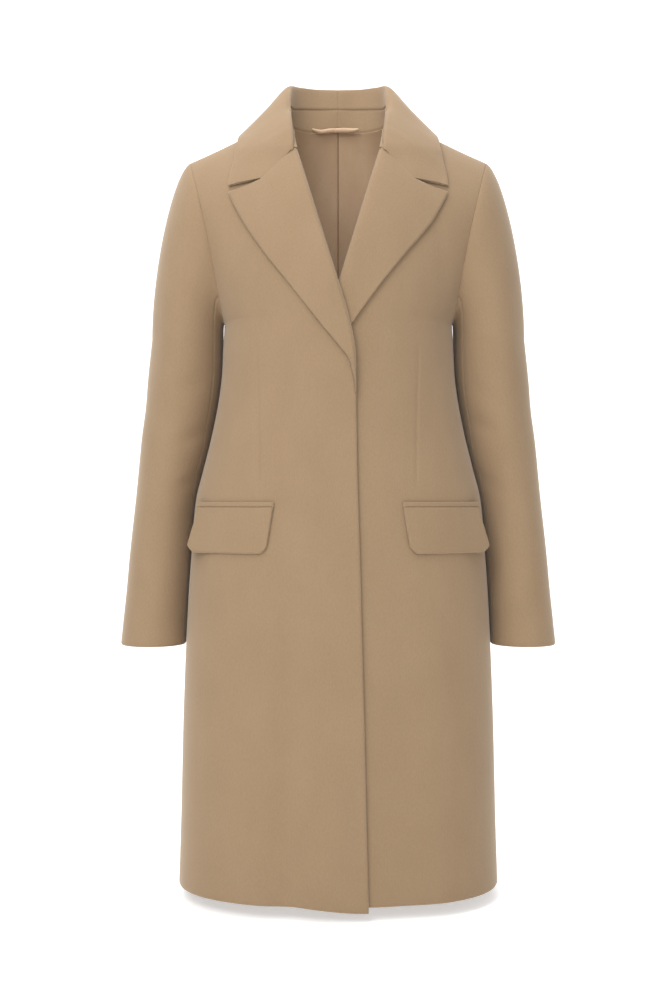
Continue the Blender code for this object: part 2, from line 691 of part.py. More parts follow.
clear_scene()
coat = bpy.data.collections.new("overcoat")
bpy.context.scene.collection.children.link(coat)
wool = finish("camel_wool", (0.42, 0.29, 0.18), 0.95)
satin = finish("tan_satin_lining", (0.36, 0.23, 0.14), 0.45)
make_fronts()
make_backs()
make_lining()
make_sleeves()
make_collar()
make_stand()
make_lapels()
make_pockets()
make_loop()
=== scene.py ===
"""A camel wool overcoat, filled out as if worn, in soft studio light. Metres, in the part's frame."""

import math

import bpy
import numpy as np
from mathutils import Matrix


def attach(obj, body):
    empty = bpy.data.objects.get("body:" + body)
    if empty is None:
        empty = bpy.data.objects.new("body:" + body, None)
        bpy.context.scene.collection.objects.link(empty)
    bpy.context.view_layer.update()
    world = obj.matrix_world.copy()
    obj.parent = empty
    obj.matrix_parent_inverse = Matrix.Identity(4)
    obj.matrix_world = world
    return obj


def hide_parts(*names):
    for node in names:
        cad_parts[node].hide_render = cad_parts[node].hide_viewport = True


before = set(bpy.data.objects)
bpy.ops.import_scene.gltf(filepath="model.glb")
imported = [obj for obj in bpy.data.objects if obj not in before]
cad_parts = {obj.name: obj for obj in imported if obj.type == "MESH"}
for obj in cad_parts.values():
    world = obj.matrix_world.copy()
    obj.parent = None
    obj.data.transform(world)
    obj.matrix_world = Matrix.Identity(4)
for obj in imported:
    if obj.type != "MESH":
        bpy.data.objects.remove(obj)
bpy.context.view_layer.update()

# -------- the two fronts
# Each front is one panel of doubled camel wool from the shoulder seam to the hem, faced with wool
# along its edge and lined behind. A long dart shapes each one between chest and pocket, and the
# right front lies over the left and hides the fastening.

WALL = 0.0028
SEAM_GAP = 0.00003
SOFT_EDGE, SOFT_SINK = 0.0017, 0.0008    # a rim turns down over this width, by this much
HEM_Z = -1.024
UNDERARM_Z = -0.280
UNDERARM_X = 0.153
NECK_X, SHOULDER_X = 0.077, 0.199
SHOULDER_FALL, SHOULDER_SLOPE = 0.57, 0.456
BACK_NECK = 0.868
BREAK_Z = -0.327
GORGE_X, GORGE_Z = 0.059, -0.056
RIGHT_ROLL = (0.0225, 0.0010)
LEFT_ROLL = (0.0220, 0.0010)
RIGHT_TURN_Z, LEFT_TURN_Z = -0.378, -0.420    # where each free edge starts to turn to its roll
ROLL_SPRING, SPRING_SHARE = 0.0056, 0.24      # how far the right roll springs in above the break
OVERLAP_RISE, CROSSING_RISE = 0.0060, 0.0014
OVERLAP_X, OVERLAP_Z, CROSSING_Z = (-0.078, -0.030), (-0.150, -0.250), (-0.42, -0.34)
CHEST_CURVE, BACK_CURVE = 0.80, 0.36
EDGE_DIP, EDGE_DIP_X, EDGE_DIP_TOP = 0.006, (0.06, -0.03), -0.90
RIM_PROUD = 0.22          # how far a rim's middle stands out, as a share of the thickness
HEM_ROWS = 5              # rows of the front and back that show wool inside, below the lining
FACING_COLUMNS = 17       # columns of the front that its wool facing covers inside
SIDES = (("right", True), ("left", False))

BODY = {
    "z": (-1.024, -0.934, -0.799, -0.664, -0.583, -0.516, -0.475, -0.435, -0.394, -0.354, -0.306, -0.280),
    "half": (0.2130, 0.2103, 0.2073, 0.2019, 0.1966, 0.1911, 0.1811, 0.1712, 0.1627, 0.1569, 0.1543, 0.1530),
    "front": (0.155, 0.152, 0.148, 0.144, 0.140, 0.134, 0.130, 0.127, 0.126, 0.127, 0.128, 0.128),
    "back": (0.150, 0.147, 0.143, 0.139, 0.135, 0.125, 0.117, 0.110, 0.106, 0.106, 0.110, 0.113),
    "square": (2.45, 2.45, 2.42, 2.40, 2.38, 2.34, 2.30, 2.26, 2.22, 2.20, 2.20, 2.20),
    "edge": (0.0375, 0.0350, 0.0320, 0.0285, 0.0265, 0.0245, 0.0235, 0.0228, 0.0222, 0.0219, 0.0215, 0.0215),
}

# Soft folds of the fronts in the coat's own x: two ends, width and depth, inwards when positive.
FRONT_FOLDS = (
    ((-0.052, -0.540), (-0.058, -1.020), 0.022, 0.0034),
    ((-0.092, -0.640), (-0.104, -1.020), 0.026, -0.0014),
    ((0.078, -0.560), (0.086, -1.020), 0.030, 0.0024),
    ((0.124, -0.660), (0.136, -1.020), 0.022, -0.0012),
    ((0.138, -0.290), (0.112, -0.455), 0.016, 0.0022),
    ((-0.140, -0.300), (-0.118, -0.440), 0.014, 0.0013),
    ((0.128, -0.150), (0.142, -0.250), 0.014, 0.0018),
    ((-0.128, -0.140), (-0.144, -0.250), 0.014, 0.0018),
    ((0.060, -0.350), (0.072, -0.470), 0.022, 0.0008),
    ((-0.040, -0.360), (-0.056, -0.480), 0.024, 0.0007),
)
# The dart by height: where it lies across, and how deep its seam sinks.
DART_X = (
    (HEM_Z, 0.0975),
    (-0.520, 0.0985),
    (-0.420, 0.1005),
    (-0.300, 0.1040),
    (-0.100, 0.1064),
    (0.0, 0.10705),
)
DART_LOW, DART_HIGH = (-0.508, -0.478), (-0.300, -0.350)    # where its seam sinks in at each end
DART_DEEP = 0.0010
DART_HALF = 0.0012


def profile(table, key, column, at):
    """A smooth curve through one column of a table, read at one place."""
    places = table[key]
    values = table[column]
    at = min(max(at, places[0]), places[-1])
    i = min(max(int(np.searchsorted(places, at, side="right")) - 1, 0), len(places) - 2)

    def slope(j):
        low, high = max(j - 1, 0), min(j + 1, len(places) - 1)
        return (values[high] - values[low]) / (places[high] - places[low])

    step = places[i + 1] - places[i]
    t = (at - places[i]) / step
    return (
        (1 + 2 * t) * (1 - t) ** 2 * values[i]
        + t * (1 - t) ** 2 * step * slope(i)
        + t * t * (3 - 2 * t) * values[i + 1]
        + t * t * (t - 1) * step * slope(i + 1)
    )


def ease(low, high, at):
    """0 at low, 1 at high, and smooth between them; low may be the greater."""
    t = min(max((at - low) / (high - low), 0.0), 1.0)
    return t * t * (3 - 2 * t)


def unit(vectors):
    return vectors / np.maximum(np.linalg.norm(vectors, axis=-1, keepdims=True), 1e-12)


def along_table(points, at):
    """The second numbers of a table of pairs, read between its first ones."""
    return float(np.interp(at, [p[0] for p in points], [p[1] for p in points]))


def folds(table, x, z):
    """How far soft folds sink the cloth at one place. Each fades out at its ends, but one that runs to the
    hem keeps its depth there.
    """
    sink = 0.0
    for (x0, z0), (x1, z1), wide, deep in table:
        run_x, run_z = x1 - x0, z1 - z0
        length = math.hypot(run_x, run_z)
        t = ((x - x0) * run_x + (z - z0) * run_z) / length**2
        off = abs((x - x0) * run_z - (z - z0) * run_x) / length
        if off > 3 * wide or not -0.3 < t < 1.3:
            continue
        to_hem = abs(z1 - HEM_Z) < 0.01
        fade = ease(-0.3, 0.3, t) * (1.0 if to_hem else ease(1.3, 0.7, t))
        sink += deep * fade * math.exp(-((off / wide) ** 2))
    return sink


def shoulder_z(x):
    run = abs(x) - NECK_X
    return -SHOULDER_FALL * run + SHOULDER_FALL * run * run


def chest_reach(x, square, half):
    """1 at the middle of the chest and 0 at the side, along a superellipse."""
    return max(1 - (abs(x) / half) ** square, 0.0) ** (1 / square)


def body_y(x, z, back=False):
    """Depth of the outer surface at one place of the front, or of the back."""
    side = "back" if back else "front"
    low = min(z, UNDERARM_Z)
    depth = profile(BODY, "z", side, low)
    square = profile(BODY, "z", "square", low)
    if z <= UNDERARM_Z:
        y = depth * chest_reach(x, square, profile(BODY, "z", "half", z))
    else:
        up = min((z - UNDERARM_Z) / (shoulder_z(x) - UNDERARM_Z), 1.0)
        half = UNDERARM_X + 0.09 * up + 0.07 * up**4
        middle = BACK_CURVE + 0.12 * ease(0.0, 0.15, abs(x)) if back else CHEST_CURVE
        y = depth * chest_reach(x, square, half) * max(1 - up * up, 0.0) ** middle
    return y if back else -y


def armhole_x(up):
    return UNDERARM_X + 0.033 * up + 0.013 * up * up


def roll_x(z, right):
    """The lapel's roll line, from the break up to the gorge."""
    start, bow = RIGHT_ROLL if right else LEFT_ROLL
    t = (z - BREAK_Z) / (GORGE_Z - BREAK_Z)
    spring = ROLL_SPRING * max(1 - max(t, 0.0) / SPRING_SHARE, 0.0) ** 2 if right else 0.0
    return -start + (GORGE_X + start) * t + bow * math.sin(math.pi * t) + spring


def free_edge_x(z, right):
    """The front's free edge, from the hem up to the break and on along the roll line."""
    if z > BREAK_Z:
        return roll_x(z, right)
    edge = -profile(BODY, "z", "edge", z)
    turn_z = RIGHT_TURN_Z if right else LEFT_TURN_Z
    return edge + (roll_x(BREAK_Z, right) - edge) * ease(turn_z, BREAK_Z, z)


def overlap(x, z, right):
    """How far a front moves out where one lies on the other; x grows towards the free edge."""
    crossing = ease(*CROSSING_Z, z)
    rise = OVERLAP_RISE + CROSSING_RISE * crossing if right else -CROSSING_RISE * crossing
    return rise * ease(*OVERLAP_X, x) * ease(*OVERLAP_Z, z)


def neck_up(x, low, start):
    """Height of a panel's top edge, as a share of the way up: 1 along the shoulder seam."""
    t = min(max((abs(x) - start) / (NECK_X - start), 0.0), 1.0)
    return low + (1 - low) * t**1.6


ROWS_Z = list(np.linspace(HEM_Z, BREAK_Z, 104)) + [-0.3205, -0.314, -0.3075, -0.301, -0.2945, -0.2885]
SHARES = []
for s in np.linspace(0, 1, 51):
    SHARES.append(math.sin(math.pi * s / 2) ** 2 * (1 - s) + s * (1 - (1 - s) ** 1.5))
GORGE_UP = (GORGE_Z - UNDERARM_Z) / (shoulder_z(GORGE_X) - UNDERARM_Z)
NECK_COLUMN, DART_COLUMN, SIDE_COLUMNS = 13, 29, 34


def front_columns(inner, outer, dart):
    """x of each column of one row: even up to the dart, three on it, then closer to the side."""
    left = [inner + (dart - DART_HALF - inner) * i / (DART_COLUMN - 1) for i in range(DART_COLUMN)]
    start = dart + DART_HALF
    turns = [math.pi / 2 * i / SIDE_COLUMNS for i in range(SIDE_COLUMNS + 1)]
    right = [start + (outer - start) * math.sin(turn) for turn in turns]
    return left + [dart] + right


def front_point(x, z, right, dart):
    own = -x if right else x
    y = body_y(x, z) - overlap(-x, z, right) + folds(FRONT_FOLDS, own, z) * ease(0.0, 0.05, -body_y(x, z))
    if abs(x - dart) < 1e-6:
        y += DART_DEEP * ease(*DART_LOW, z) * ease(*DART_HIGH, z)
    dip = EDGE_DIP * ease(*EDGE_DIP_X, x) * ease(EDGE_DIP_TOP, HEM_Z, z) if right else 0.0
    return x, y, z - dip


def front_grid(right):
    """Outer points of the wearer's left front, hem upwards and from the free edge to the side.
    x grows towards the side here, and the right front is its mirror image."""
    rows = []
    for z in ROWS_Z:
        dart = along_table(DART_X, z)
        columns = front_columns(free_edge_x(z, right), profile(BODY, "z", "half", z), dart)
        rows.append([front_point(x, z, right, dart) for x in columns])
    for share in SHARES:
        inner = roll_x(UNDERARM_Z, right)
        for _ in range(6):
            inner = roll_x(UNDERARM_Z + share * GORGE_UP * (shoulder_z(inner) - UNDERARM_Z), right)
        dart = along_table(DART_X, UNDERARM_Z * (1 - share))
        row = []
        for x in front_columns(inner, armhole_x(share), dart):
            up = share * neck_up(x, GORGE_UP, GORGE_X)
            row.append(front_point(x, UNDERARM_Z + up * (shoulder_z(x) - UNDERARM_Z), right, dart))
        rows.append(row)
    return np.array(rows)


def grid_normals(grid, outward):
    """Unit normals of a grid of points, on the side that the vector outward points to."""
    normals = unit(np.cross(np.gradient(grid, axis=1), np.gradient(grid, axis=0)))
    return -normals if (normals * outward).sum() < 0 else normals


def draw_in(grids, *edges, gap=SEAM_GAP):
    """The grids with some of their edges moved in a little towards their neighbours."""
    grids = [grid.copy() for grid in grids]
    for edge in edges:
        first, second = {
            "first_row": (np.s_[0], np.s_[1]),
            "last_row": (np.s_[-1], np.s_[-2]),
            "first_column": (np.s_[:, 0], np.s_[:, 1]),
            "last_column": (np.s_[:, -1], np.s_[:, -2]),
        }[edge]
        for grid in grids:
            grid[first] += unit(grid[second] - grid[first]) * gap
    return grids


def softened(outer, inner, width, sink):
    """Both grids with a row more along each side, and their rims drawn towards each other."""
    for axis in (0, 1):
        outer, inner = np.swapaxes(outer, 0, axis), np.swapaxes(inner, 0, axis)
        pairs = []
        for grid in (outer, inner):
            added = []
            for rim, way in ((grid[0], grid[1] - grid[0]), (grid[-1], grid[-2] - grid[-1])):
                run = np.linalg.norm(way, axis=-1, keepdims=True)
                added.append([rim + way * np.clip(width / np.maximum(run, 1e-6), 0.2, 0.6)])
            pairs.append(np.concatenate([grid[:1], added[0], grid[1:-1], added[1], grid[-1:]]))
        outer, inner = (np.swapaxes(grid, 0, axis) for grid in pairs)
    sunk_outer, sunk_inner = outer.copy(), inner.copy()
    for side in (np.s_[0], np.s_[-1], np.s_[:, 0], np.s_[:, -1]):
        way = unit(inner[side] - outer[side])
        sunk_outer[side] = outer[side] + way * sink
        sunk_inner[side] = inner[side] - way * sink
    return sunk_outer, sunk_inner


def new_object(name, data):
    made = bpy.data.objects.new(name, data)
    bpy.context.scene.collection.objects.link(made)
    return made


def cloth(name, outer, inner, materials, mirror=False, lined=None, width=SOFT_EDGE, sink=SOFT_SINK):
    """A thin closed shell between two grids, with a softly rounded rim. lined(row, column) is
    true where its inner face shows the lining."""
    thickness = np.linalg.norm(outer - inner, axis=-1).mean()
    outer, inner = softened(outer, inner, width, sink)
    rows, columns = outer.shape[:2]
    at = np.arange(rows * columns).reshape(rows, columns)
    rim = list(at[0]) + list(at[1:, -1]) + list(at[-1, -2::-1]) + list(at[-2:0:-1, 0])
    flat_outer, flat_inner = outer.reshape(-1, 3), inner.reshape(-1, 3)
    within = [
        at[min(max(r // columns, 1), rows - 2), min(max(r % columns, 1), columns - 2)] for r in rim
    ]
    proud = unit(flat_outer[rim] - flat_outer[within]) * thickness * RIM_PROUD
    middle = (flat_outer[rim] + flat_inner[rim]) / 2 + proud
    points = np.concatenate([flat_outer, flat_inner, middle])
    if mirror:
        points = points * (-1, 1, 1)
    shift = rows * columns
    faces, slots = [], []
    for i in range(rows - 1):
        for j in range(columns - 1):
            a, b, c, d = at[i, j], at[i, j + 1], at[i + 1, j + 1], at[i + 1, j]
            faces.append((a, b, c, d))
            faces.append((shift + a, shift + d, shift + c, shift + b))
            slots += [0, 1 if lined and lined(i, j) else 0]
    for k, a in enumerate(rim):
        n = (k + 1) % len(rim)
        b, low, high = rim[n], 2 * shift + k, 2 * shift + n
        faces += [(b, a, low, high), (high, low, shift + a, shift + b)]
        slots += [0, 0]
    mesh = bpy.data.meshes.new(name)
    mesh.from_pydata([tuple(p) for p in points], [], [tuple(int(v) for v in face) for face in faces])
    corners = points[np.array(faces)]
    volume = np.einsum("ij,ij->i", corners[:, 0], np.cross(corners[:, 1], corners[:, 2]))
    volume += np.einsum("ij,ij->i", corners[:, 0], np.cross(corners[:, 2], corners[:, 3]))
    if volume.sum() < 0:
        mesh.flip_normals()
    for material in materials:
        mesh.materials.append(material)
    mesh.polygons.foreach_set("material_index", slots)
    mesh.shade_smooth()
    return new_object(name, mesh)


def sewn(piece, node):
    """Ties a finished sheet of cloth to the frame in place of its node."""
    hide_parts(node)
    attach(piece, "root")


class Field:
    """A socket of a material's tree, for use in sums. node() adds any other node."""

    def __init__(self, tree, socket=None):
        self.tree = tree
        self.socket = socket

    def node(self, kind, settings=None, inputs=None, out=0):
        made = self.tree.nodes.new(kind)
        for name, value in (settings or {}).items():
            if name == "stops":
                made.color_ramp.elements[0].position, made.color_ramp.elements[1].position = value
            else:
                setattr(made, name, value)
        for name, value in (inputs or {}).items():
            if isinstance(value, Field):
                self.tree.links.new(value.socket, made.inputs[name])
            else:
                made.inputs[name].default_value = value
        return Field(self.tree, made.outputs[out])

    def sum(self, operation, first, second):
        return self.node("ShaderNodeMath", {"operation": operation}, {0: first, 1: second})

    def __add__(self, other):
        return self.sum("ADD", self, other)

    def __sub__(self, other):
        return self.sum("SUBTRACT", self, other)

    def __rsub__(self, other):
        return self.sum("SUBTRACT", other, self)

    def __mul__(self, other):
        return self.sum("MULTIPLY", self, other)

    __radd__ = __add__
    __rmul__ = __mul__

    def noise(self, place, scale, detail=2.0, stretch=(1.0, 1.0, 1.0)):
        moved = self.node("ShaderNodeMapping", {}, {"Vector": place, "Scale": stretch})
        return self.node("ShaderNodeTexNoise", {}, {"Vector": moved, "Scale": scale, "Detail": detail})

    def mix(self, factor, first, second):
        return self.node(
            "ShaderNodeMix", {"data_type": "RGBA"}, {"Factor": factor, 6: first, 7: second}, out=2
        )


def new_material(name):
    """A material and its shader, and the Object coordinates that its pattern lies on."""
    material = bpy.data.materials.new(name)
    material.use_nodes = True
    shader = material.node_tree.nodes["Principled BSDF"]
    start = Field(material.node_tree)
    return material, shader, start, start.node("ShaderNodeTexCoord", out=3)


def feed(field, shader, name):
    field.tree.links.new(field.socket, shader.inputs[name])


def set_inputs(node, values):
    for name, value in values.items():
        node.inputs[name].default_value = value


# Camel wool: a dense felted twill with a short raised nap that runs down the coat. The nap makes
# a fine fibre bump and a soft, slightly uneven tone; brushed patches lie a little lighter.
WOOL_DARK = (0.244, 0.162, 0.093, 1.0)
WOOL_LIGHT = (0.330, 0.230, 0.140, 1.0)

wool, shader, start, place = new_material("camel_wool")
fibres = start.noise(place, 620.0, 3.0, (1.0, 1.0, 0.42))
brushed = start.noise(place, 26.0, 3.0, (1.0, 1.0, 0.6))
flecks = start.noise(place, 1500.0, 1.0)
tone = 0.5 + 0.62 * (fibres - 0.5) + 0.38 * (brushed - 0.5) + 0.30 * (flecks - 0.5)
feed(start.mix(tone, WOOL_DARK, WOOL_LIGHT), shader, "Base Color")
feed(0.86 + 0.12 * fibres, shader, "Roughness")
nap = 0.7 * fibres + 0.3 * flecks + 0.35 * start.noise(place, 210.0, 2.0, (1.0, 1.0, 0.6))
feed(
    start.node("ShaderNodeBump", {}, {"Height": nap, "Strength": 0.30, "Distance": 0.0005}),
    shader,
    "Normal",
)
set_inputs(shader, {"Specular IOR Level": 0.18, "Sheen Weight": 0.35, "Sheen Roughness": 0.45})
set_inputs(shader, {"Sheen Tint": (1.0, 0.90, 0.78, 1.0)})

# Tan lining: a smooth satin-weave viscose with fine ribs across and small soft creases.
SATIN_DARK = (0.460, 0.305, 0.185, 1.0)
SATIN_LIGHT = (0.620, 0.435, 0.280, 1.0)

satin, shader, start, place = new_material("tan_satin_lining")
threads = start.noise(place, 900.0, 1.0, (1.0, 1.0, 0.25))
creases_and_shade = start.noise(place, 34.0, 2.0, (1.0, 1.0, 0.45))
# The tone follows the creases' height: painted shade in their hollows and painted light on their ridges, over
# the ribs' own fine variation.
tone = 0.5 + 0.4 * (threads - 0.5) + 0.8 * (creases_and_shade - 0.5)
feed(start.mix(tone, SATIN_DARK, SATIN_LIGHT), shader, "Base Color")
feed(0.40 + 0.14 * creases_and_shade, shader, "Roughness")
feed(
    start.node(
        "ShaderNodeBump", {}, {"Height": 0.06 * threads + creases_and_shade, "Strength": 0.35, "Distance": 0.004}
    ),
    shader,
    "Normal",
)
set_inputs(shader, {"Specular IOR Level": 0.30, "Sheen Weight": 0.15, "Sheen Roughness": 0.35})


# -------- the two backs
# Two back panels of the same wool, seamed down the middle and pressed open, meet the fronts along
# the side and shoulder seams. They fall straight from the shoulder blades to the hem.

BACK_NECK_SPAN = math.asin(NECK_X / SHOULDER_X) * 2 / math.pi
BACK_NECK_COLUMN = 12
BACK_COLUMNS = [BACK_NECK_SPAN * i / BACK_NECK_COLUMN for i in range(BACK_NECK_COLUMN)]
BACK_COLUMNS += list(np.linspace(BACK_NECK_SPAN, 1.0, 37))
BACK_FOLDS = (
    ((0.040, -0.560), (0.050, -1.020), 0.026, -0.0030),
    ((0.096, -0.600), (0.110, -1.020), 0.028, -0.0034),
    ((-0.046, -0.600), (-0.060, -1.020), 0.028, -0.0034),
    ((-0.110, -0.570), (-0.128, -1.020), 0.026, -0.0026),
    ((0.130, -0.290), (0.098, -0.450), 0.018, -0.0022),
    ((-0.132, -0.290), (-0.104, -0.440), 0.018, -0.0026),
    ((0.060, -0.400), (0.010, -0.470), 0.018, -0.0014),
    ((-0.058, -0.390), (-0.012, -0.455), 0.018, -0.0012),
    ((0.132, -0.120), (0.146, -0.250), 0.016, -0.0024),
    ((-0.132, -0.125), (-0.146, -0.250), 0.016, -0.0022),
)


def back_point(x, z, mirror):
    y = body_y(x, z, back=True)
    sink = folds(BACK_FOLDS, -x if mirror else x, z) * ease(0.0, 0.012, x) * ease(0.0, 0.05, y)
    return x, y + sink, z


def back_grid(mirror):
    """Outer points of the left back, hem upwards and from the centre seam to the side."""
    rows = []
    for z in ROWS_Z:
        half = profile(BODY, "z", "half", z)
        rows.append([back_point(half * math.sin(math.pi / 2 * t), z, mirror) for t in BACK_COLUMNS])
    for share in SHARES:
        row = []
        for t in BACK_COLUMNS:
            x = armhole_x(share) * math.sin(math.pi / 2 * t)
            up = share * neck_up(x, BACK_NECK, 0.0)
            row.append(back_point(x, UNDERARM_Z + up * (shoulder_z(x) - UNDERARM_Z), mirror))
        rows.append(row)
    return np.array(rows)


def body_walls(right):
    """Outer and inner points of a front and a back that share their side and shoulder seams."""
    front, back = front_grid(right), back_grid(right)
    front_n = grid_normals(front, (0, -1, 0))
    back_n = grid_normals(back, (0, 1, 0))
    low = len(ROWS_Z) + 1
    side = unit(front_n[:low, -1] + back_n[:low, -1])
    front_n[:low, -1] = side
    back_n[:low, -1] = side
    back_n[:, 0, 0] = 0.0
    shoulder = unit(np.array((SHOULDER_SLOPE, 0.0, 1.0)))
    front_n[-1, NECK_COLUMN:] = shoulder
    back_n[-1, BACK_NECK_COLUMN:] = shoulder
    back_n = unit(back_n)
    return (front, front - front_n * WALL), (back, back - back_n * WALL)


walls = {right: body_walls(right) for right in (True, False)}

for side, right in SIDES:
    front_grids, back_grids = walls[right]
    front = cloth(
        f"{side}_front_cloth",
        *draw_in(front_grids, "last_row", "last_column"),
        (wool, satin),
        mirror=right,
        lined=lambda i, j: j > FACING_COLUMNS and i > HEM_ROWS,
    )
    sewn(front, f"{side}_front")
    grids = draw_in(back_grids, "last_row", "last_column", "first_column")
    back = cloth(f"{side}_back_cloth", *grids, (wool,), mirror=right)
    sewn(back, f"{side}_back")

# -------- the lining of the back
# A satin lining in two halves, sewn to the collar's stand at the top and seamed down the middle,
# hangs just inside the backs. It shows through the front opening.

LINING, LINING_SHORT, LAY_GAP = 0.0014, 0.0004, 0.0006
LINING_SEAM = 0.0007      # half the sunken line of the lining's middle seam
LINING_FOLDS = (
    ((0.018, -0.060), (0.026, -0.420), 0.007, -0.0009),
    ((0.046, -0.070), (0.050, -0.420), 0.010, -0.0012),
    ((-0.024, -0.060), (-0.030, -0.420), 0.008, -0.0010),
    ((-0.052, -0.080), (-0.050, -0.420), 0.010, -0.0012),
    ((0.090, -0.200), (0.084, -0.900), 0.014, -0.0014),
    ((-0.094, -0.200), (-0.090, -0.900), 0.014, -0.0014),
)

for side, right in SIDES:
    _, (outer, inner) = walls[right]
    inward = unit(inner - outer)
    hang = np.zeros(outer.shape[:2] + (1,))
    for i, row in enumerate(outer):
        for j, (x, _, z) in enumerate(row):
            hang[i, j] = -folds(LINING_FOLDS, -x if right else x, z) * ease(0.0, 0.010, x)
    grids = [(inner + inward * (depth + hang))[HEM_ROWS:] for depth in (LAY_GAP, LAY_GAP + LINING)]
    grids = draw_in(grids, "last_row", "last_column", gap=LINING_SHORT)
    grids = draw_in(grids, "first_column", gap=LINING_SEAM)
    lining = cloth(f"{side}_back_lining_cloth", *grids, (satin,), mirror=right, sink=0.0005)
    sewn(
        lining,
        f"{side}_back_lining",
    )

# -------- the sleeves
# Each sleeve is two pieces of wool, a wide upper one outside and a narrow under one by the body,
# eased into the armhole. They hang a little forward, crease softly at the elbow and end plain.

SLEEVE = {
    "z": (-0.708, -0.678, -0.637, -0.583, -0.516, -0.475, -0.435, -0.394, -0.354, -0.300),
    "inner": (0.2048, 0.2036, 0.2017, 0.1978, 0.1914, 0.1814, 0.1716, 0.1632, 0.1574, 0.1558),
    "outer": (0.2915, 0.2890, 0.2850, 0.2807, 0.2742, 0.2704, 0.2662, 0.2615, 0.2582, 0.2520),
    "depth": (0.052, 0.053, 0.055, 0.057, 0.060, 0.062, 0.064, 0.066, 0.068, 0.070),
    "mid": (-0.008, -0.003, 0.000, 0.005, 0.012, 0.015, 0.017, 0.018, 0.016, 0.012),
    "turn": (22.0, 22.0, 21.0, 19.0, 15.0, 11.0, 7.0, 3.0, 1.0, 0.0),
}
SLEEVE_HEAD_ROWS = 24
SLEEVE_LOW_ROWS = 96
FRONT_SEAM, BACK_SEAM = 40, 65    # columns of a hundred round the sleeve
CUFF_TURN_UP, CUFF_ROW = 0.035, 0.0043    # wool turned up inside the cuff, and one row's height
CREASE_SHIFT, CREASE_SHARE = 0.012, {True: 1.15, False: 0.9}

# Soft creases of a sleeve: place round it in turns (0 outside, a quarter in front), height, the
# half-widths round and up, slant in turns a metre, and depth, inwards when positive.
SLEEVE_CREASES = (
    (0.300, -0.375, 0.070, 0.013, 0.9, 0.0016),
    (0.330, -0.425, 0.090, 0.012, 0.8, 0.0022),
    (0.300, -0.465, 0.100, 0.014, -0.6, 0.0014),
    (0.350, -0.500, 0.080, 0.011, 0.8, 0.0018),
    (0.700, -0.400, 0.090, 0.016, -0.9, 0.0020),
    (0.660, -0.455, 0.080, 0.014, 0.8, 0.0018),
    (0.110, -0.300, 0.045, 0.060, 0.6, 0.0012),
    (0.200, -0.560, 0.050, 0.050, 0.3, 0.0010),
    (0.060, -0.440, 0.060, 0.035, 0.5, -0.0010),
    (0.220, -0.180, 0.050, 0.040, 0.3, 0.0010),
    (0.820, -0.560, 0.080, 0.060, 0.2, 0.0012),
    (0.150, -0.655, 0.060, 0.020, -0.4, 0.0008),
)


def armhole(right):
    """Outer and inner points round the armhole, from the shoulder forwards and round."""
    first = len(ROWS_Z)
    loops = []
    for front, back in zip(*walls[right]):
        loops.append(np.concatenate([front[first:, -1][::-1], back[first:, -1][1:]])[:-1])
    return loops


def sleeve_ring(z, angles):
    columns = ("inner", "outer", "depth", "mid", "turn")
    inner, outer, depth, mid, turn = (profile(SLEEVE, "z", column, z) for column in columns)
    points = []
    for angle in angles:
        at = angle + math.radians(turn) * math.sin(angle)
        points.append((
            (outer + inner) / 2 + (outer - inner) / 2 * math.cos(at),
            mid - depth * math.sin(at),
            z,
        ))
    return np.array(points)


def bezier(a, b, c, d, t):
    return a * (1 - t) ** 3 + b * 3 * t * (1 - t) ** 2 + c * 3 * t * t * (1 - t) + d * t**3


def crease_depth(turn, z, right):
    """How far the sleeve's creases sink it. The two sleeves crease a little apart."""
    sink = 0.0
    for i, (at, height, wide, tall, slant, deep) in enumerate(SLEEVE_CREASES):
        shift = CREASE_SHIFT * math.sin(2.4 * i + (1.3 if right else 0.0))
        off = (turn - at + 0.5) % 1.0 - 0.5
        up = z - height - shift - off * slant * 0.12
        sink += deep * CREASE_SHARE[right] * math.exp(-((off / wide) ** 2) - (up / tall) ** 2)
    return sink


def sleeve_grids(right):
    start, start_in = armhole(right)
    count = len(start)
    angles = [2 * math.pi * i / count for i in range(count)]
    ring = sleeve_ring(SLEEVE["z"][-1], angles)
    rows = [start]
    for t in np.linspace(0, 1, SLEEVE_HEAD_ROWS + 1)[1:-1]:
        row = []
        for angle, a, r in zip(angles, start, ring):
            near_top = (1 + math.cos(angle)) / 2
            lift = np.array((
                0.002 + 0.021 * near_top**0.6,
                -0.006 * math.sin(angle),
                -0.010 * near_top + 0.007 * (1 - near_top) ** 3,
            ))
            drop = np.array((0, 0, 0.006 + 0.094 * near_top))
            row.append(bezier(a, a + lift, r + drop, r, t))
        rows.append(np.array(row))
    for z in np.linspace(SLEEVE["z"][-1], SLEEVE["z"][0], SLEEVE_LOW_ROWS):
        rows.append(sleeve_ring(z, angles))
    outer = np.array(rows)

    def normals_of(grid):
        wrapped = np.concatenate([grid[:, -1:], grid, grid[:, :1]], axis=1)
        normals = unit(np.cross(np.gradient(wrapped, axis=0), np.gradient(wrapped, axis=1)))[:, 1:-1]
        middle = grid.mean(axis=1, keepdims=True)
        return -normals if (normals[-3:] * (grid - middle)[-3:]).sum() < 0 else normals

    sink = np.array([
        [crease_depth(i / count, p[2], right) * ease(0, 14, k) for i, p in enumerate(row)]
        for k, row in enumerate(outer)
    ])
    outer = outer - normals_of(outer) * sink[:, :, None]
    inner = outer - normals_of(outer) * WALL
    inner[0] = start_in
    return outer, inner


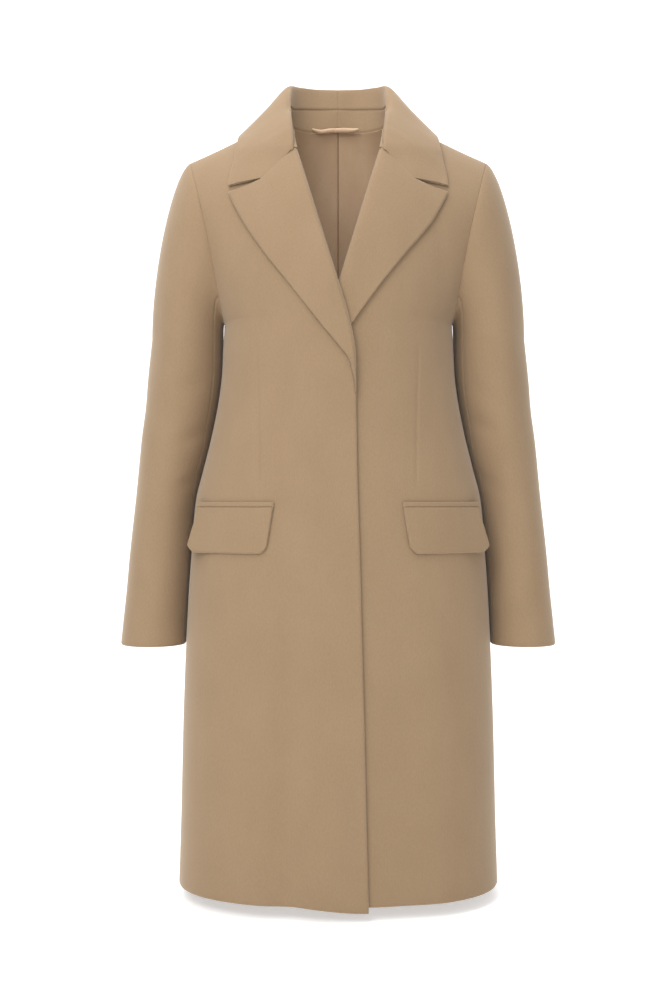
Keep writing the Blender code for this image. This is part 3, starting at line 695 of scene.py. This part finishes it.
for side, right in SIDES:
    outer, inner = sleeve_grids(right)
    count = outer.shape[1]
    cuff_row = outer.shape[0] - 2 - round(CUFF_TURN_UP / CUFF_ROW)
    for part, columns, flat, area in (
        ("upper_sleeve", [i % count for i in range(BACK_SEAM, FRONT_SEAM + count + 1)], (0.28, 0.66), 0.125),
        ("under_sleeve", list(range(FRONT_SEAM, BACK_SEAM + 1)), (0.11, 0.47), 0.036),
    ):
        grids = (outer[:, columns], inner[:, columns])
        sleeve = cloth(
            f"{side}_{part}_cloth",
            *draw_in(grids, "first_row", "first_column", "last_column"),
            (wool, satin),
            mirror=right,
            lined=lambda i, j: i < cuff_row,
        )
        sewn(sleeve, f"{side}_{part}")

# -------- the collar and its stand
# The upper collar turns over at the neck in two layers of wool and ends at the notch on either
# side. Inside the neck it is seamed to a separate stand, with a row of stitches above the seam.

FOLDED = 0.0036
COLLAR = {
    "q": (0.0, 0.16, 0.30, 0.42, 0.54, 0.66, 0.78, 0.89, 1.0),
    "fold_x": (0.000, 0.031, 0.054, 0.0660, 0.0680, 0.0652, 0.0620, 0.0595, 0.0572),
    "fold_y": (0.080, 0.076, 0.063, 0.0430, 0.0190, -0.0020, -0.0262, -0.0500, -0.0670),
    "fold_z": (0.060, 0.0598, 0.059, 0.0550, 0.0365, 0.0095, -0.0200, -0.0400, -0.0550),
    "edge_x": (0.000, 0.046, 0.088, 0.1170, 0.1325, 0.1350, 0.1385, 0.1425, 0.1435),
    "edge_y": (0.089, 0.078, 0.058, 0.0360, 0.0100, -0.0240, -0.0455, -0.0570, -0.0650),
    "edge_z": (-0.012, -0.014, -0.019, -0.0230, -0.0230, -0.0430, -0.0700, -0.0910, -0.1062),
    "inner": (0.44, 0.44, 0.44, 0.44, 0.46, 0.76, 0.66, 0.45, 0.30),
    "roll": (0.011, 0.011, 0.012, 0.0120, 0.0120, 0.0120, 0.0100, 0.0060, 0.0030),
    "tuck": (0.0035, 0.0035, 0.0035, 0.0035, 0.0035, 0.0038, 0.0038, 0.0038, 0.0035),
}
COLLAR_LIFT, GORGE_LIFT, GORGE_GAP = 0.0036, 0.0048, 0.0014
STAND_GAP, STAND_TOP_GAP, STAND_SIDE_GAP, STAND_END = 0.0002, 0.0002, 0.0012, 0.61
NOTCH_X, NOTCH_Z, NOTCH_SHARE = 0.0980, -0.0985, 0.52
NECK_SHARES = (0.0, 0.13, 0.27, 0.40, 0.54, 0.66, 0.78, 0.89, 1.0)
FRONT_NECK = math.asin((NECK_X - GORGE_X) / (SHOULDER_X - GORGE_X)) * 2 / math.pi
SMOOTHINGS = 240          # passes that draw the fall smooth over the shoulder and chest
MIDDLE_ROUND = 0.03       # how far the curves are eased across the middle of the back
SEAM_Y, SEAM_Z, SEAM_FALL = 0.067, 0.0285, 0.26    # the stand's seam, and its fall to the front
STITCH_UP, STITCH_END = 0.0048, 0.37   # the stitches' height above it, and their end round the neck
STITCH = {"Pitch": 0.0036, "Length": 0.0027, "Thread": 0.0008}
STITCH_SEED, STITCH_UNEVEN = 4, (0.88, 1.08)
COLLAR_SWELL, CHEST_Y = 0.004, 0.02    # the fall's swell off the chest, and how far back that goes
GORGE_LIFT_Z = (-0.075, -0.050)
FALL_ROUND, INSIDE_ROUND = 0.28, 0.004
CENTRE_GROOVE = 0.0005    # the middle seam of the collar's inside and of the stand

neck_x = [SHOULDER_X * math.sin(math.pi / 2 * BACK_NECK_SPAN * i / 4) for i in range(5)]
neck_x += [
    GORGE_X + (SHOULDER_X - GORGE_X) * math.sin(math.pi / 2 * FRONT_NECK * i / 4) for i in (3, 2, 1, 0)
]
rim_outer, rim_inner = (
    np.concatenate([back[-1, :BACK_NECK_COLUMN], front[-1, NECK_COLUMN::-1]])
    for front, back in zip(*walls[False])
)
rim_share = [float(np.interp(p[0], neck_x[:5], NECK_SHARES[:5])) for p in rim_outer[:BACK_NECK_COLUMN]]
rim_share += [
    float(np.interp(-p[0], [-x for x in neck_x[4:]], NECK_SHARES[4:])) for p in rim_outer[BACK_NECK_COLUMN:]
]


def neck_point(q, points):
    return np.array([np.interp(q, rim_share, points[:, axis]) for axis in range(3)])


def gorge_line(share, tip):
    """Down the gorge seam to the notch, and on to the tip of the collar or of the lapel."""
    if share < NOTCH_SHARE:
        t = share / NOTCH_SHARE
        return GORGE_X + (NOTCH_X - GORGE_X) * t, GORGE_Z + (NOTCH_Z - GORGE_Z) * t
    t = (share - NOTCH_SHARE) / (1 - NOTCH_SHARE)
    return NOTCH_X + (tip[0] - NOTCH_X) * t, NOTCH_Z + (tip[1] - NOTCH_Z) * t


def collar_frame(q):
    """Fold, edge, lower end of the inside, and the way out, at one place round the neck."""
    q = math.hypot(q, MIDDLE_ROUND) - MIDDLE_ROUND * (1 - q)
    fold = np.array([profile(COLLAR, "q", f"fold_{axis}", q) for axis in "xyz"])
    edge = np.array([profile(COLLAR, "q", f"edge_{axis}", q) for axis in "xyz"])
    fold[2] -= FOLDED / 2
    out = (edge - fold) * (1, 1, 0)
    if q > 0.6:
        out = out + np.array((0.0, -0.6 * ease(0.6, 1.0, q) * abs(out[0]), 0.0))
    out = out / np.linalg.norm(out)
    neck = (neck_point(q, rim_outer) + neck_point(q, rim_inner)) / 2
    low = fold + (neck - fold) * profile(COLLAR, "q", "inner", q)
    low = low - out * profile(COLLAR, "q", "tuck", q)
    low[2] += (SEAM_Z - SEAM_FALL * (SEAM_Y - low[1]) - low[2]) * ease(0.54, 0.42, q)
    return fold, edge, low, out


def chest_reached(point, q, across):
    """The furthest back that the collar's cloth can lie at one place over the chest."""
    if across <= 0 or point[2] >= shoulder_z(point[0]) or point[1] >= CHEST_Y:
        return 1.0
    lift = COLLAR_LIFT + COLLAR_SWELL * math.sin(math.pi * across) * (1 - ease(0.80, 1.0, q))
    lift += GORGE_LIFT * ease(*GORGE_LIFT_Z, point[2])
    return body_y(point[0], point[2]) - lift


def collar_point(q, across):
    """The middle of the collar's cloth: inside the neck for across below 0, outside above."""
    fold, edge, low, out = collar_frame(q)
    if across <= 0:
        return bezier(low, low + (fold - low) * 0.5, fold - out * INSIDE_ROUND, fold, 1 + across)
    roll = profile(COLLAR, "q", "roll", q)
    back = (fold - edge) * FALL_ROUND
    point = bezier(fold, fold + out * roll, edge + back, edge, across)
    end = ease(0.80, 1.0, q)
    x, z = gorge_line(across, (edge[0], edge[2]))
    point[0] += (x - point[0]) * end
    point[2] += (z - point[2]) * end
    nearest = chest_reached(point, q, across)
    point[1] = nearest if across * end > 0.99 else min(point[1], nearest)
    return point


def thicken(middle, outward, thickness):
    """Outer and inner points either side of the middle of the cloth."""
    normals = unit(np.cross(np.gradient(middle, axis=1), np.gradient(middle, axis=0)))
    if (normals[:, -1] * outward).sum() < 0:
        normals = -normals
    return middle + normals * thickness / 2, middle - normals * thickness / 2


def both_sides(half):
    """Rows from the wearer's right end of the neck to the left, from the left half's rows."""
    return np.concatenate([half[:0:-1] * (-1, 1, 1), half])


collar_shares = [0.0, 0.008] + list(np.linspace(0.02, 1.0, 84))
collar_across = []
for first, last, count in ((-1.0, -0.20, 10), (-0.15, 0.15, 13), (0.19, 1.0, 26)):
    collar_across += list(np.linspace(first, last, count))
half = np.array([[collar_point(q, across) for across in collar_across] for q in collar_shares])
half[0, :, 0] = 0.0
furthest = np.ones(half.shape[:2])
for i, q in enumerate(collar_shares):
    for j, across in enumerate(collar_across):
        furthest[i, j] = chest_reached(half[i, j], q, across)
row_free = np.array([ease(0.30, 0.45, q) * ease(0.985, 0.93, q) for q in collar_shares])[1:-1, None]
column_free = np.array([ease(0.03, 0.20, across) * ease(1.0, 0.90, across) for across in collar_across])[1:-1]
for _ in range(SMOOTHINGS):
    y = half[:, :, 1]
    around = (y[:-2, 1:-1] + y[2:, 1:-1] + y[1:-1, :-2] + y[1:-1, 2:]) / 4
    y[1:-1, 1:-1] += (around - y[1:-1, 1:-1]) * row_free * column_free
    half[:, :, 1] = np.minimum(y, furthest)
outer, inner = thicken(both_sides(half), (0, 0, 1), FOLDED)
middle_row = len(collar_shares) - 1
inside = [j for j, across in enumerate(collar_across) if across < -0.15]
outer[middle_row, inside, 1] += CENTRE_GROOVE
grids = draw_in(draw_in((outer, inner), "first_column"), "first_row", "last_row", gap=GORGE_GAP)
collar = cloth("upper_collar_cloth", *grids, (wool,), width=0.0022, sink=0.0011)

row_points = []
for q in np.linspace(0.0, STITCH_END, 40):
    climb = [collar_point(q, across) for across in np.linspace(-1.0, -0.5, 21)]
    heights = [p[2] for p in climb]
    at = heights[0] + STITCH_UP
    line = [np.interp(at, heights, [p[axis] for p in climb]) for axis in range(3)]
    row_points.append(np.array(line) - collar_frame(q)[3] * (FOLDED / 2))
row_points = both_sides(np.array(row_points))
mesh = bpy.data.meshes.new("collar_stitches")
mesh.from_pydata([tuple(p) for p in row_points], [(i, i + 1) for i in range(len(row_points) - 1)], [])
stitches = new_object("collar_stitches", mesh)

tree = bpy.data.node_groups.new("stitch_row", "GeometryNodeTree")
tree.interface.new_socket("Geometry", in_out="INPUT", socket_type="NodeSocketGeometry")
for name in STITCH:
    tree.interface.new_socket(name, in_out="INPUT", socket_type="NodeSocketFloat")
tree.interface.new_socket("Seed", in_out="INPUT", socket_type="NodeSocketInt")
tree.interface.new_socket("Geometry", in_out="OUTPUT", socket_type="NodeSocketGeometry")
add = tree.nodes.new
given = add("NodeGroupInput")
curve = add("GeometryNodeMeshToCurve")
spaced = add("GeometryNodeResampleCurve")
spaced.mode = "LENGTH"
bead = add("GeometryNodeMeshUVSphere")
set_inputs(bead, {"Segments": 8, "Rings": 5, "Radius": 0.5})
along = add("GeometryNodeInputTangent")
turned = add("FunctionNodeAlignRotationToVector")
turned.axis = "Z"
uneven = add("FunctionNodeRandomValue")
uneven.data_type = "FLOAT"
low, high = [s for s in uneven.inputs if s.type == "VALUE"][:2]
low.default_value, high.default_value = STITCH_UNEVEN
length = add("ShaderNodeMath")
length.operation = "MULTIPLY"
scale = add("ShaderNodeCombineXYZ")
placed = add("GeometryNodeInstanceOnPoints")
real = add("GeometryNodeRealizeInstances")
painted = add("GeometryNodeSetMaterial")
set_inputs(painted, {"Material": wool})
result = add("NodeGroupOutput")
random_value = [s for s in uneven.outputs if s.type == "VALUE"][0]
tree.links.new(random_value, length.inputs[1])
for source, out, target, into in (
    (given, "Geometry", curve, "Mesh"),
    (curve, "Curve", spaced, "Curve"),
    (given, "Pitch", spaced, "Length"),
    (spaced, "Curve", placed, "Points"),
    (bead, "Mesh", placed, "Instance"),
    (along, "Tangent", turned, "Vector"),
    (turned, "Rotation", placed, "Rotation"),
    (given, "Seed", uneven, "Seed"),
    (given, "Length", length, 0),
    (given, "Thread", scale, "X"),
    (given, "Thread", scale, "Y"),
    (length, "Value", scale, "Z"),
    (scale, "Vector", placed, "Scale"),
    (placed, "Instances", real, "Geometry"),
    (real, "Geometry", painted, "Geometry"),
    (painted, "Geometry", result, "Geometry"),
):
    tree.links.new(source.outputs[out], target.inputs[into])
sewing = stitches.modifiers.new("sewing", "NODES")
sewing.node_group = tree
keys = {item.name: item.identifier for item in tree.interface.items_tree if item.in_out == "INPUT"}
for name, value in STITCH.items():
    sewing[keys[name]] = value
sewing[keys["Seed"]] = STITCH_SEED
bpy.context.view_layer.update()
made = stitches.evaluated_get(bpy.context.evaluated_depsgraph_get())
finished = bpy.data.meshes.new_from_object(made)
stitches.modifiers.remove(sewing)
stitches.data = finished
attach(stitches, "root")
sewn(collar, "upper_collar")

half_out, half_in = [], []
for q in [0.0, 0.008] + list(np.linspace(0.02, STAND_END, 44)):
    a, b = neck_point(q, rim_outer), neck_point(q, rim_inner)
    _, _, top, out = collar_frame(q)
    middle = (a + b) / 2
    rise = unit(top - middle)
    top = top - rise * (STAND_TOP_GAP + STAND_SIDE_GAP * ease(0.42, 0.60, q))
    across_wall = unit(np.cross(np.cross(out, rise), rise)) * -1
    low = a + rise * STAND_GAP, b + rise * STAND_GAP
    high = top + across_wall * WALL / 2, top - across_wall * WALL / 2
    half_out.append([low[0] + (high[0] - low[0]) * t for t in np.linspace(0, 1, 9)])
    half_in.append([low[1] + (high[1] - low[1]) * t for t in np.linspace(0, 1, 9)])
outer, inner = both_sides(np.array(half_out)), both_sides(np.array(half_in))
inner[len(half_in) - 1, :, 1] += CENTRE_GROOVE
stand = cloth("collar_stand_cloth", outer, inner, (wool,), sink=0.0009)
sewn(stand, "collar_stand")

# -------- the lapels
# Each lapel is the front's own facing turned back in two layers. It folds softly along the roll
# line, meets the collar along the gorge seam, and its outer edge runs straight up to the tip.

LAPEL = {
    "k": (0.0, 0.2, 0.4, 0.6, 0.8, 0.94, 1.0),
    "right_x": (-0.0108, 0.0290, 0.0625, 0.0935, 0.1200, 0.1356, 0.1440),
    "left_x": (-0.0108, 0.0222, 0.0538, 0.0853, 0.1176, 0.1345, 0.1440),
    "edge_z": (-0.3337, -0.2850, -0.2411, -0.2010, -0.1610, -0.1320, -0.1120),
}
LAPEL_ACROSS = {
    "at": tuple(range(10)),
    "t": (0.0, 0.0, 0.0, 0.06, 0.18, 0.34, 0.52, 0.70, 0.86, 1.0),
    "step": (0.0036, 0.0034, 0.0012, 0.0, 0.0, 0.0, 0.0, 0.0, 0.0, 0.0),
    "lift": (-0.0008, 0.0014, 0.0036, 0.0042, 0.0041, 0.0039, 0.0038, 0.0038, 0.0040, 0.0043),
}
LAPEL_HIDDEN_LIFT = 0.0027
LAPEL_STEP = (0.95, 0.3)  # the way, in x and z, from the roll to the hidden edge inside it
LAPEL_SWELL = 0.0010      # how far the lapel's middle stands up between roll and edge
LAPEL_TAIL = -0.20        # the right lapel runs out along the front edge this far below the break
TAIL_DROP, TAIL_OVER, TAIL_LIFT = 0.0067, 0.0010, 0.0004
TAIL_EDGE = (
    (0.3337, -0.0108),
    (0.3380, -0.0134),
    (0.3440, -0.0163),
    (0.3520, -0.0186),
    (0.3620, -0.0202),
    (0.3780, -0.0214),
)


def lapel_edges(k, right):
    """x and z of the roll and of the outer edge at one place up the lapel."""
    roll_z = BREAK_Z + (GORGE_Z - BREAK_Z) * k
    roll = free_edge_x(roll_z, right)
    if k < 0:
        edge_z = roll_z - TAIL_DROP * (1 - k / LAPEL_TAIL)
        return roll, roll_z, max(along_table(TAIL_EDGE, -edge_z), roll - TAIL_OVER), edge_z
    edge_x = profile(LAPEL, "k", "right_x" if right else "left_x", k)
    return roll, roll_z, edge_x, profile(LAPEL, "k", "edge_z", k)


def lapel_point(k, t, step, lift, right):
    """The middle of the lapel's cloth, k from the break to the gorge and t out to its edge."""
    roll, roll_z, edge_x, edge_z = lapel_edges(k, right)
    x = roll + (edge_x - roll) * t
    z = roll_z + (edge_z - roll_z) * t
    top_x, top_z = gorge_line(t, (edge_x, edge_z))
    near_top = ease(0.70, 1.0, k)
    x += (top_x - x) * near_top
    z += (top_z - z) * near_top
    if not right:
        lift = min(lift, LAPEL_HIDDEN_LIFT + 0.0015 * ease(0.0, 0.02, x))
    if k < 0:
        running_out = ease(LAPEL_TAIL, 0.0, k)
        step *= running_out
        lift = TAIL_LIFT + (lift - TAIL_LIFT) * (0.1 + 0.9 * running_out)
    swell = LAPEL_SWELL * math.sin(math.pi * min(t, 1.0)) * ease(0.25, 0.6, k) * ease(1.0, 0.85, k)
    y = body_y(x, z) - overlap(-x, z, right) - lift - swell
    return x - step * LAPEL_STEP[0], y, z - step * LAPEL_STEP[1]


for side, right in SIDES:
    places = list(np.linspace(LAPEL_TAIL, 0, 16)[:-1] if right else []) + list(np.linspace(0, 1, 64))
    rows = []
    for k in places:
        row = []
        for at in list(np.linspace(0, 3, 13)) + list(np.linspace(3.25, 9, 27)):
            t, step, lift = (profile(LAPEL_ACROSS, "at", column, at) for column in ("t", "step", "lift"))
            row.append(lapel_point(k, max(t, 0.0), step, lift, right))
        rows.append(row)
    start = LAPEL_TAIL if right else 0.0
    thickness = np.array([FOLDED * (0.3 + 0.7 * ease(start, start + 0.2, k)) for k in places])
    grids = thicken(np.array(rows), (0, -1, 0), thickness[:, None, None])
    grids = draw_in(grids, "last_row", gap=2 * GORGE_GAP)
    lapel = cloth(f"{side}_lapel_cloth", *grids, (wool,), mirror=right, width=0.0022, sink=0.0011)
    sewn(lapel, f"{side}_lapel")

# -------- the pockets
# A narrow welt closes each pocket slit, and a lined wool flap with rounded lower corners hangs
# from the seam just below it, standing a little off the hip at its outer end.

FLAP_TOP_X, FLAP_LOW_X = (0.0830, 0.1820), (0.0905, 0.1970)
FLAP_TOP_Z, FLAP_LOW_Z = -0.5256, -0.5835
FLAP_ACROSS = (*np.linspace(0, 0.12, 9), *np.linspace(0.15, 0.85, 26), *np.linspace(0.88, 1.0, 9))
FLAP_LINED_ROWS, FLAP_LINED_COLUMNS = 21, range(2, 41)
FLAP_CORNER, FLAP_STAND_OFF, FLAP_SWELL = 0.009, 0.005, 0.0008
WELT_X, WELT_Z, WELT_WALL = (0.0820, 0.1845), (-0.5248, -0.5185), 0.0020
POCKET_GAP, POCKET_FLAT_X = 0.0009, 0.165


def hip_y(x, z):
    """Depth of the front at the pocket, going on straight where the hip rounds away."""
    if abs(x) <= POCKET_FLAT_X:
        return body_y(x, z)
    slope = (body_y(POCKET_FLAT_X, z) - body_y(POCKET_FLAT_X - 0.01, z)) / 0.01
    return body_y(POCKET_FLAT_X, z) + slope * (abs(x) - POCKET_FLAT_X)


for side, right in SIDES:
    rows = []
    for z in np.linspace(*WELT_Z, 5):
        rows.append([(x, hip_y(x, z) - POCKET_GAP - WELT_WALL / 2, z) for x in np.linspace(*WELT_X, 40)])
    grids = thicken(np.array(rows), (0, -1, 0), WELT_WALL)
    welt = cloth(f"{side}_pocket_welt_cloth", *grids, (wool,), mirror=right, sink=0.0006)
    sewn(welt, f"{side}_pocket_welt")
    rows = []
    for down in np.linspace(0, 1, 24):
        row = []
        for t in FLAP_ACROSS:
            top = FLAP_TOP_X[0] + (FLAP_TOP_X[1] - FLAP_TOP_X[0]) * t
            low = FLAP_LOW_X[0] + (FLAP_LOW_X[1] - FLAP_LOW_X[0]) * t
            x = top + (low - top) * down
            corner = FLAP_CORNER * (max(1 - t / 0.10, 0) ** 2 + max((t - 0.90) / 0.10, 0) ** 2)
            z = FLAP_TOP_Z + (FLAP_LOW_Z + corner - FLAP_TOP_Z) * down
            lift = POCKET_GAP + FOLDED / 2 + FLAP_STAND_OFF * ease(0.6, 1.0, t) * ease(-0.1, 0.6, down)
            lift += FLAP_SWELL * math.sin(math.pi * down) * math.sin(math.pi * t)
            row.append((x, hip_y(x, z) - lift, z))
        rows.append(row)
    flap = cloth(
        f"{side}_pocket_flap_cloth",
        *thicken(np.array(rows), (0, -1, 0), FOLDED),
        (wool, satin),
        mirror=right,
        lined=lambda i, j: j in FLAP_LINED_COLUMNS and i < FLAP_LINED_ROWS,
        width=0.0022,
        sink=0.0011,
    )
    sewn(flap, f"{side}_pocket_flap")

# -------- the hanger loop
# A narrow tube of lining cloth, a little twisted, whose ends are caught in the neck seam. It
# bows away from the lining between them.

LOOP_HALF, LOOP_WALL, LOOP_X, LOOP_Z = 0.0320, 0.0018, -0.004, -0.0026
LOOP_LAY, LOOP_BOW, LOOP_PUFF, LOOP_TWIST = 0.0014, 0.0035, 0.0012, 0.0011
LOOP = {
    "u": (-1.0, -0.85, -0.60, -0.30, 0.0, 0.40, 0.75, 0.90, 1.0),
    "rise": (0.0, -0.0012, -0.0022, -0.0002, 0.0006, 0.0002, -0.0006, -0.0004, 0.0),
    "tall": (0.0018, 0.0036, 0.0050, 0.0057, 0.0060, 0.0059, 0.0048, 0.0034, 0.0018),
}

rows = []
for s in np.linspace(-0.5, 0.5, 9):
    row = []
    for u in np.linspace(-1, 1, 61):
        bow = 1 - u * u
        z = LOOP_Z + profile(LOOP, "u", "rise", u) + profile(LOOP, "u", "tall", u) * s
        puff = LOOP_PUFF * math.cos(math.pi * s) + LOOP_TWIST * math.sin(4.0 * u + 1.0) * bow * s
        at = body_y(LOOP_HALF * u, 0.0, back=True) - WALL - 2 * LAY_GAP - LINING
        row.append((LOOP_X + LOOP_HALF * u, at - LOOP_LAY - LOOP_BOW * bow - puff, z))
    rows.append(row)
grids = thicken(np.array(rows), (0, 1, 0), LOOP_WALL)
loop = cloth("hanger_loop_cloth", *grids, (satin,), width=0.0010, sink=0.0006)
sewn(loop, "hanger_loop")

# -------- the studio
# A pale floor that sweeps up behind the coat, a large soft key light from the upper left, a
# weaker fill from the right and a white surround. The camera is level with the coat's middle.

FLOOR_Z = -1.042
SWEEP_Y, SWEEP_RADIUS, STUDIO_HALF = 1.6, 1.2, 5.0
PAPER_DARK, PAPER_LIGHT = (0.74, 0.74, 0.73, 1.0), (0.76, 0.76, 0.75, 1.0)
CAMERA_PLACE = (-0.003, -2.0, -0.521)
CAMERA_LENS = 52.91

sweep = [(-4.5, FLOOR_Z), (SWEEP_Y, FLOOR_Z)]
for i in range(1, 17):
    turn = math.pi / 2 * i / 16
    sweep.append((SWEEP_Y + SWEEP_RADIUS * math.sin(turn), FLOOR_Z + SWEEP_RADIUS * (1 - math.cos(turn))))
sweep.append((SWEEP_Y + SWEEP_RADIUS, 4.0))
points = [(x, y, z) for y, z in sweep for x in (-STUDIO_HALF, STUDIO_HALF)]
mesh = bpy.data.meshes.new("studio_floor")
mesh.from_pydata(points, [], [(2 * i, 2 * i + 1, 2 * i + 3, 2 * i + 2) for i in range(len(sweep) - 1)])
mesh.shade_smooth()
studio, shader, start, place = new_material("studio_paper")
feed(start.mix(start.noise(place, 3.0), PAPER_DARK, PAPER_LIGHT), shader, "Base Color")
set_inputs(shader, {"Roughness": 0.9, "Specular IOR Level": 0.0})
set_inputs(shader, {"Emission Color": (1.0, 1.0, 1.0, 1.0), "Emission Strength": 0.50})
mesh.materials.append(studio)
new_object("studio_floor", mesh)

for name, at, toward, size, watts in (
    ("key_light", (-1.2, -2.4, 1.5), (0.0, 0.0, -0.35), 1.6, 52.0),
    ("front_light", (0.3, -2.9, 0.5), (0.0, 0.0, -0.4), 1.2, 18.0),
    ("top_light", (-0.3, -0.5, 1.9), (0.0, 0.0, -0.3), 2.0, 40.0),
    ("backdrop_light", (0.0, 1.6, 2.6), (0.0, 2.2, -1.0), 3.0, 60.0),
):
    lamp = bpy.data.lights.new(name, "AREA")
    lamp.size = size
    lamp.energy = watts
    light = new_object(name, lamp)
    light.location = at
    aim = np.array(toward) - np.array(at)
    level = math.hypot(aim[0], aim[1])
    light.rotation_euler = (math.atan2(level, -aim[2]), 0.0, math.atan2(-aim[0], aim[1]))

surround = bpy.data.worlds.new("white_surround")
surround.use_nodes = True
set_inputs(surround.node_tree.nodes["Background"], {"Color": (1.0, 1.0, 1.0, 1.0), "Strength": 0.34})
bpy.context.scene.world = surround
bpy.context.scene.view_settings.view_transform = "Standard"

lens = bpy.data.cameras.new("camera")
lens.sensor_fit = "VERTICAL"
lens.sensor_height = 36.0
lens.lens = CAMERA_LENS
camera = new_object("camera", lens)
camera.location = CAMERA_PLACE
camera.rotation_euler = (math.pi / 2, 0.0, 0.0)
bpy.context.scene.camera = camera
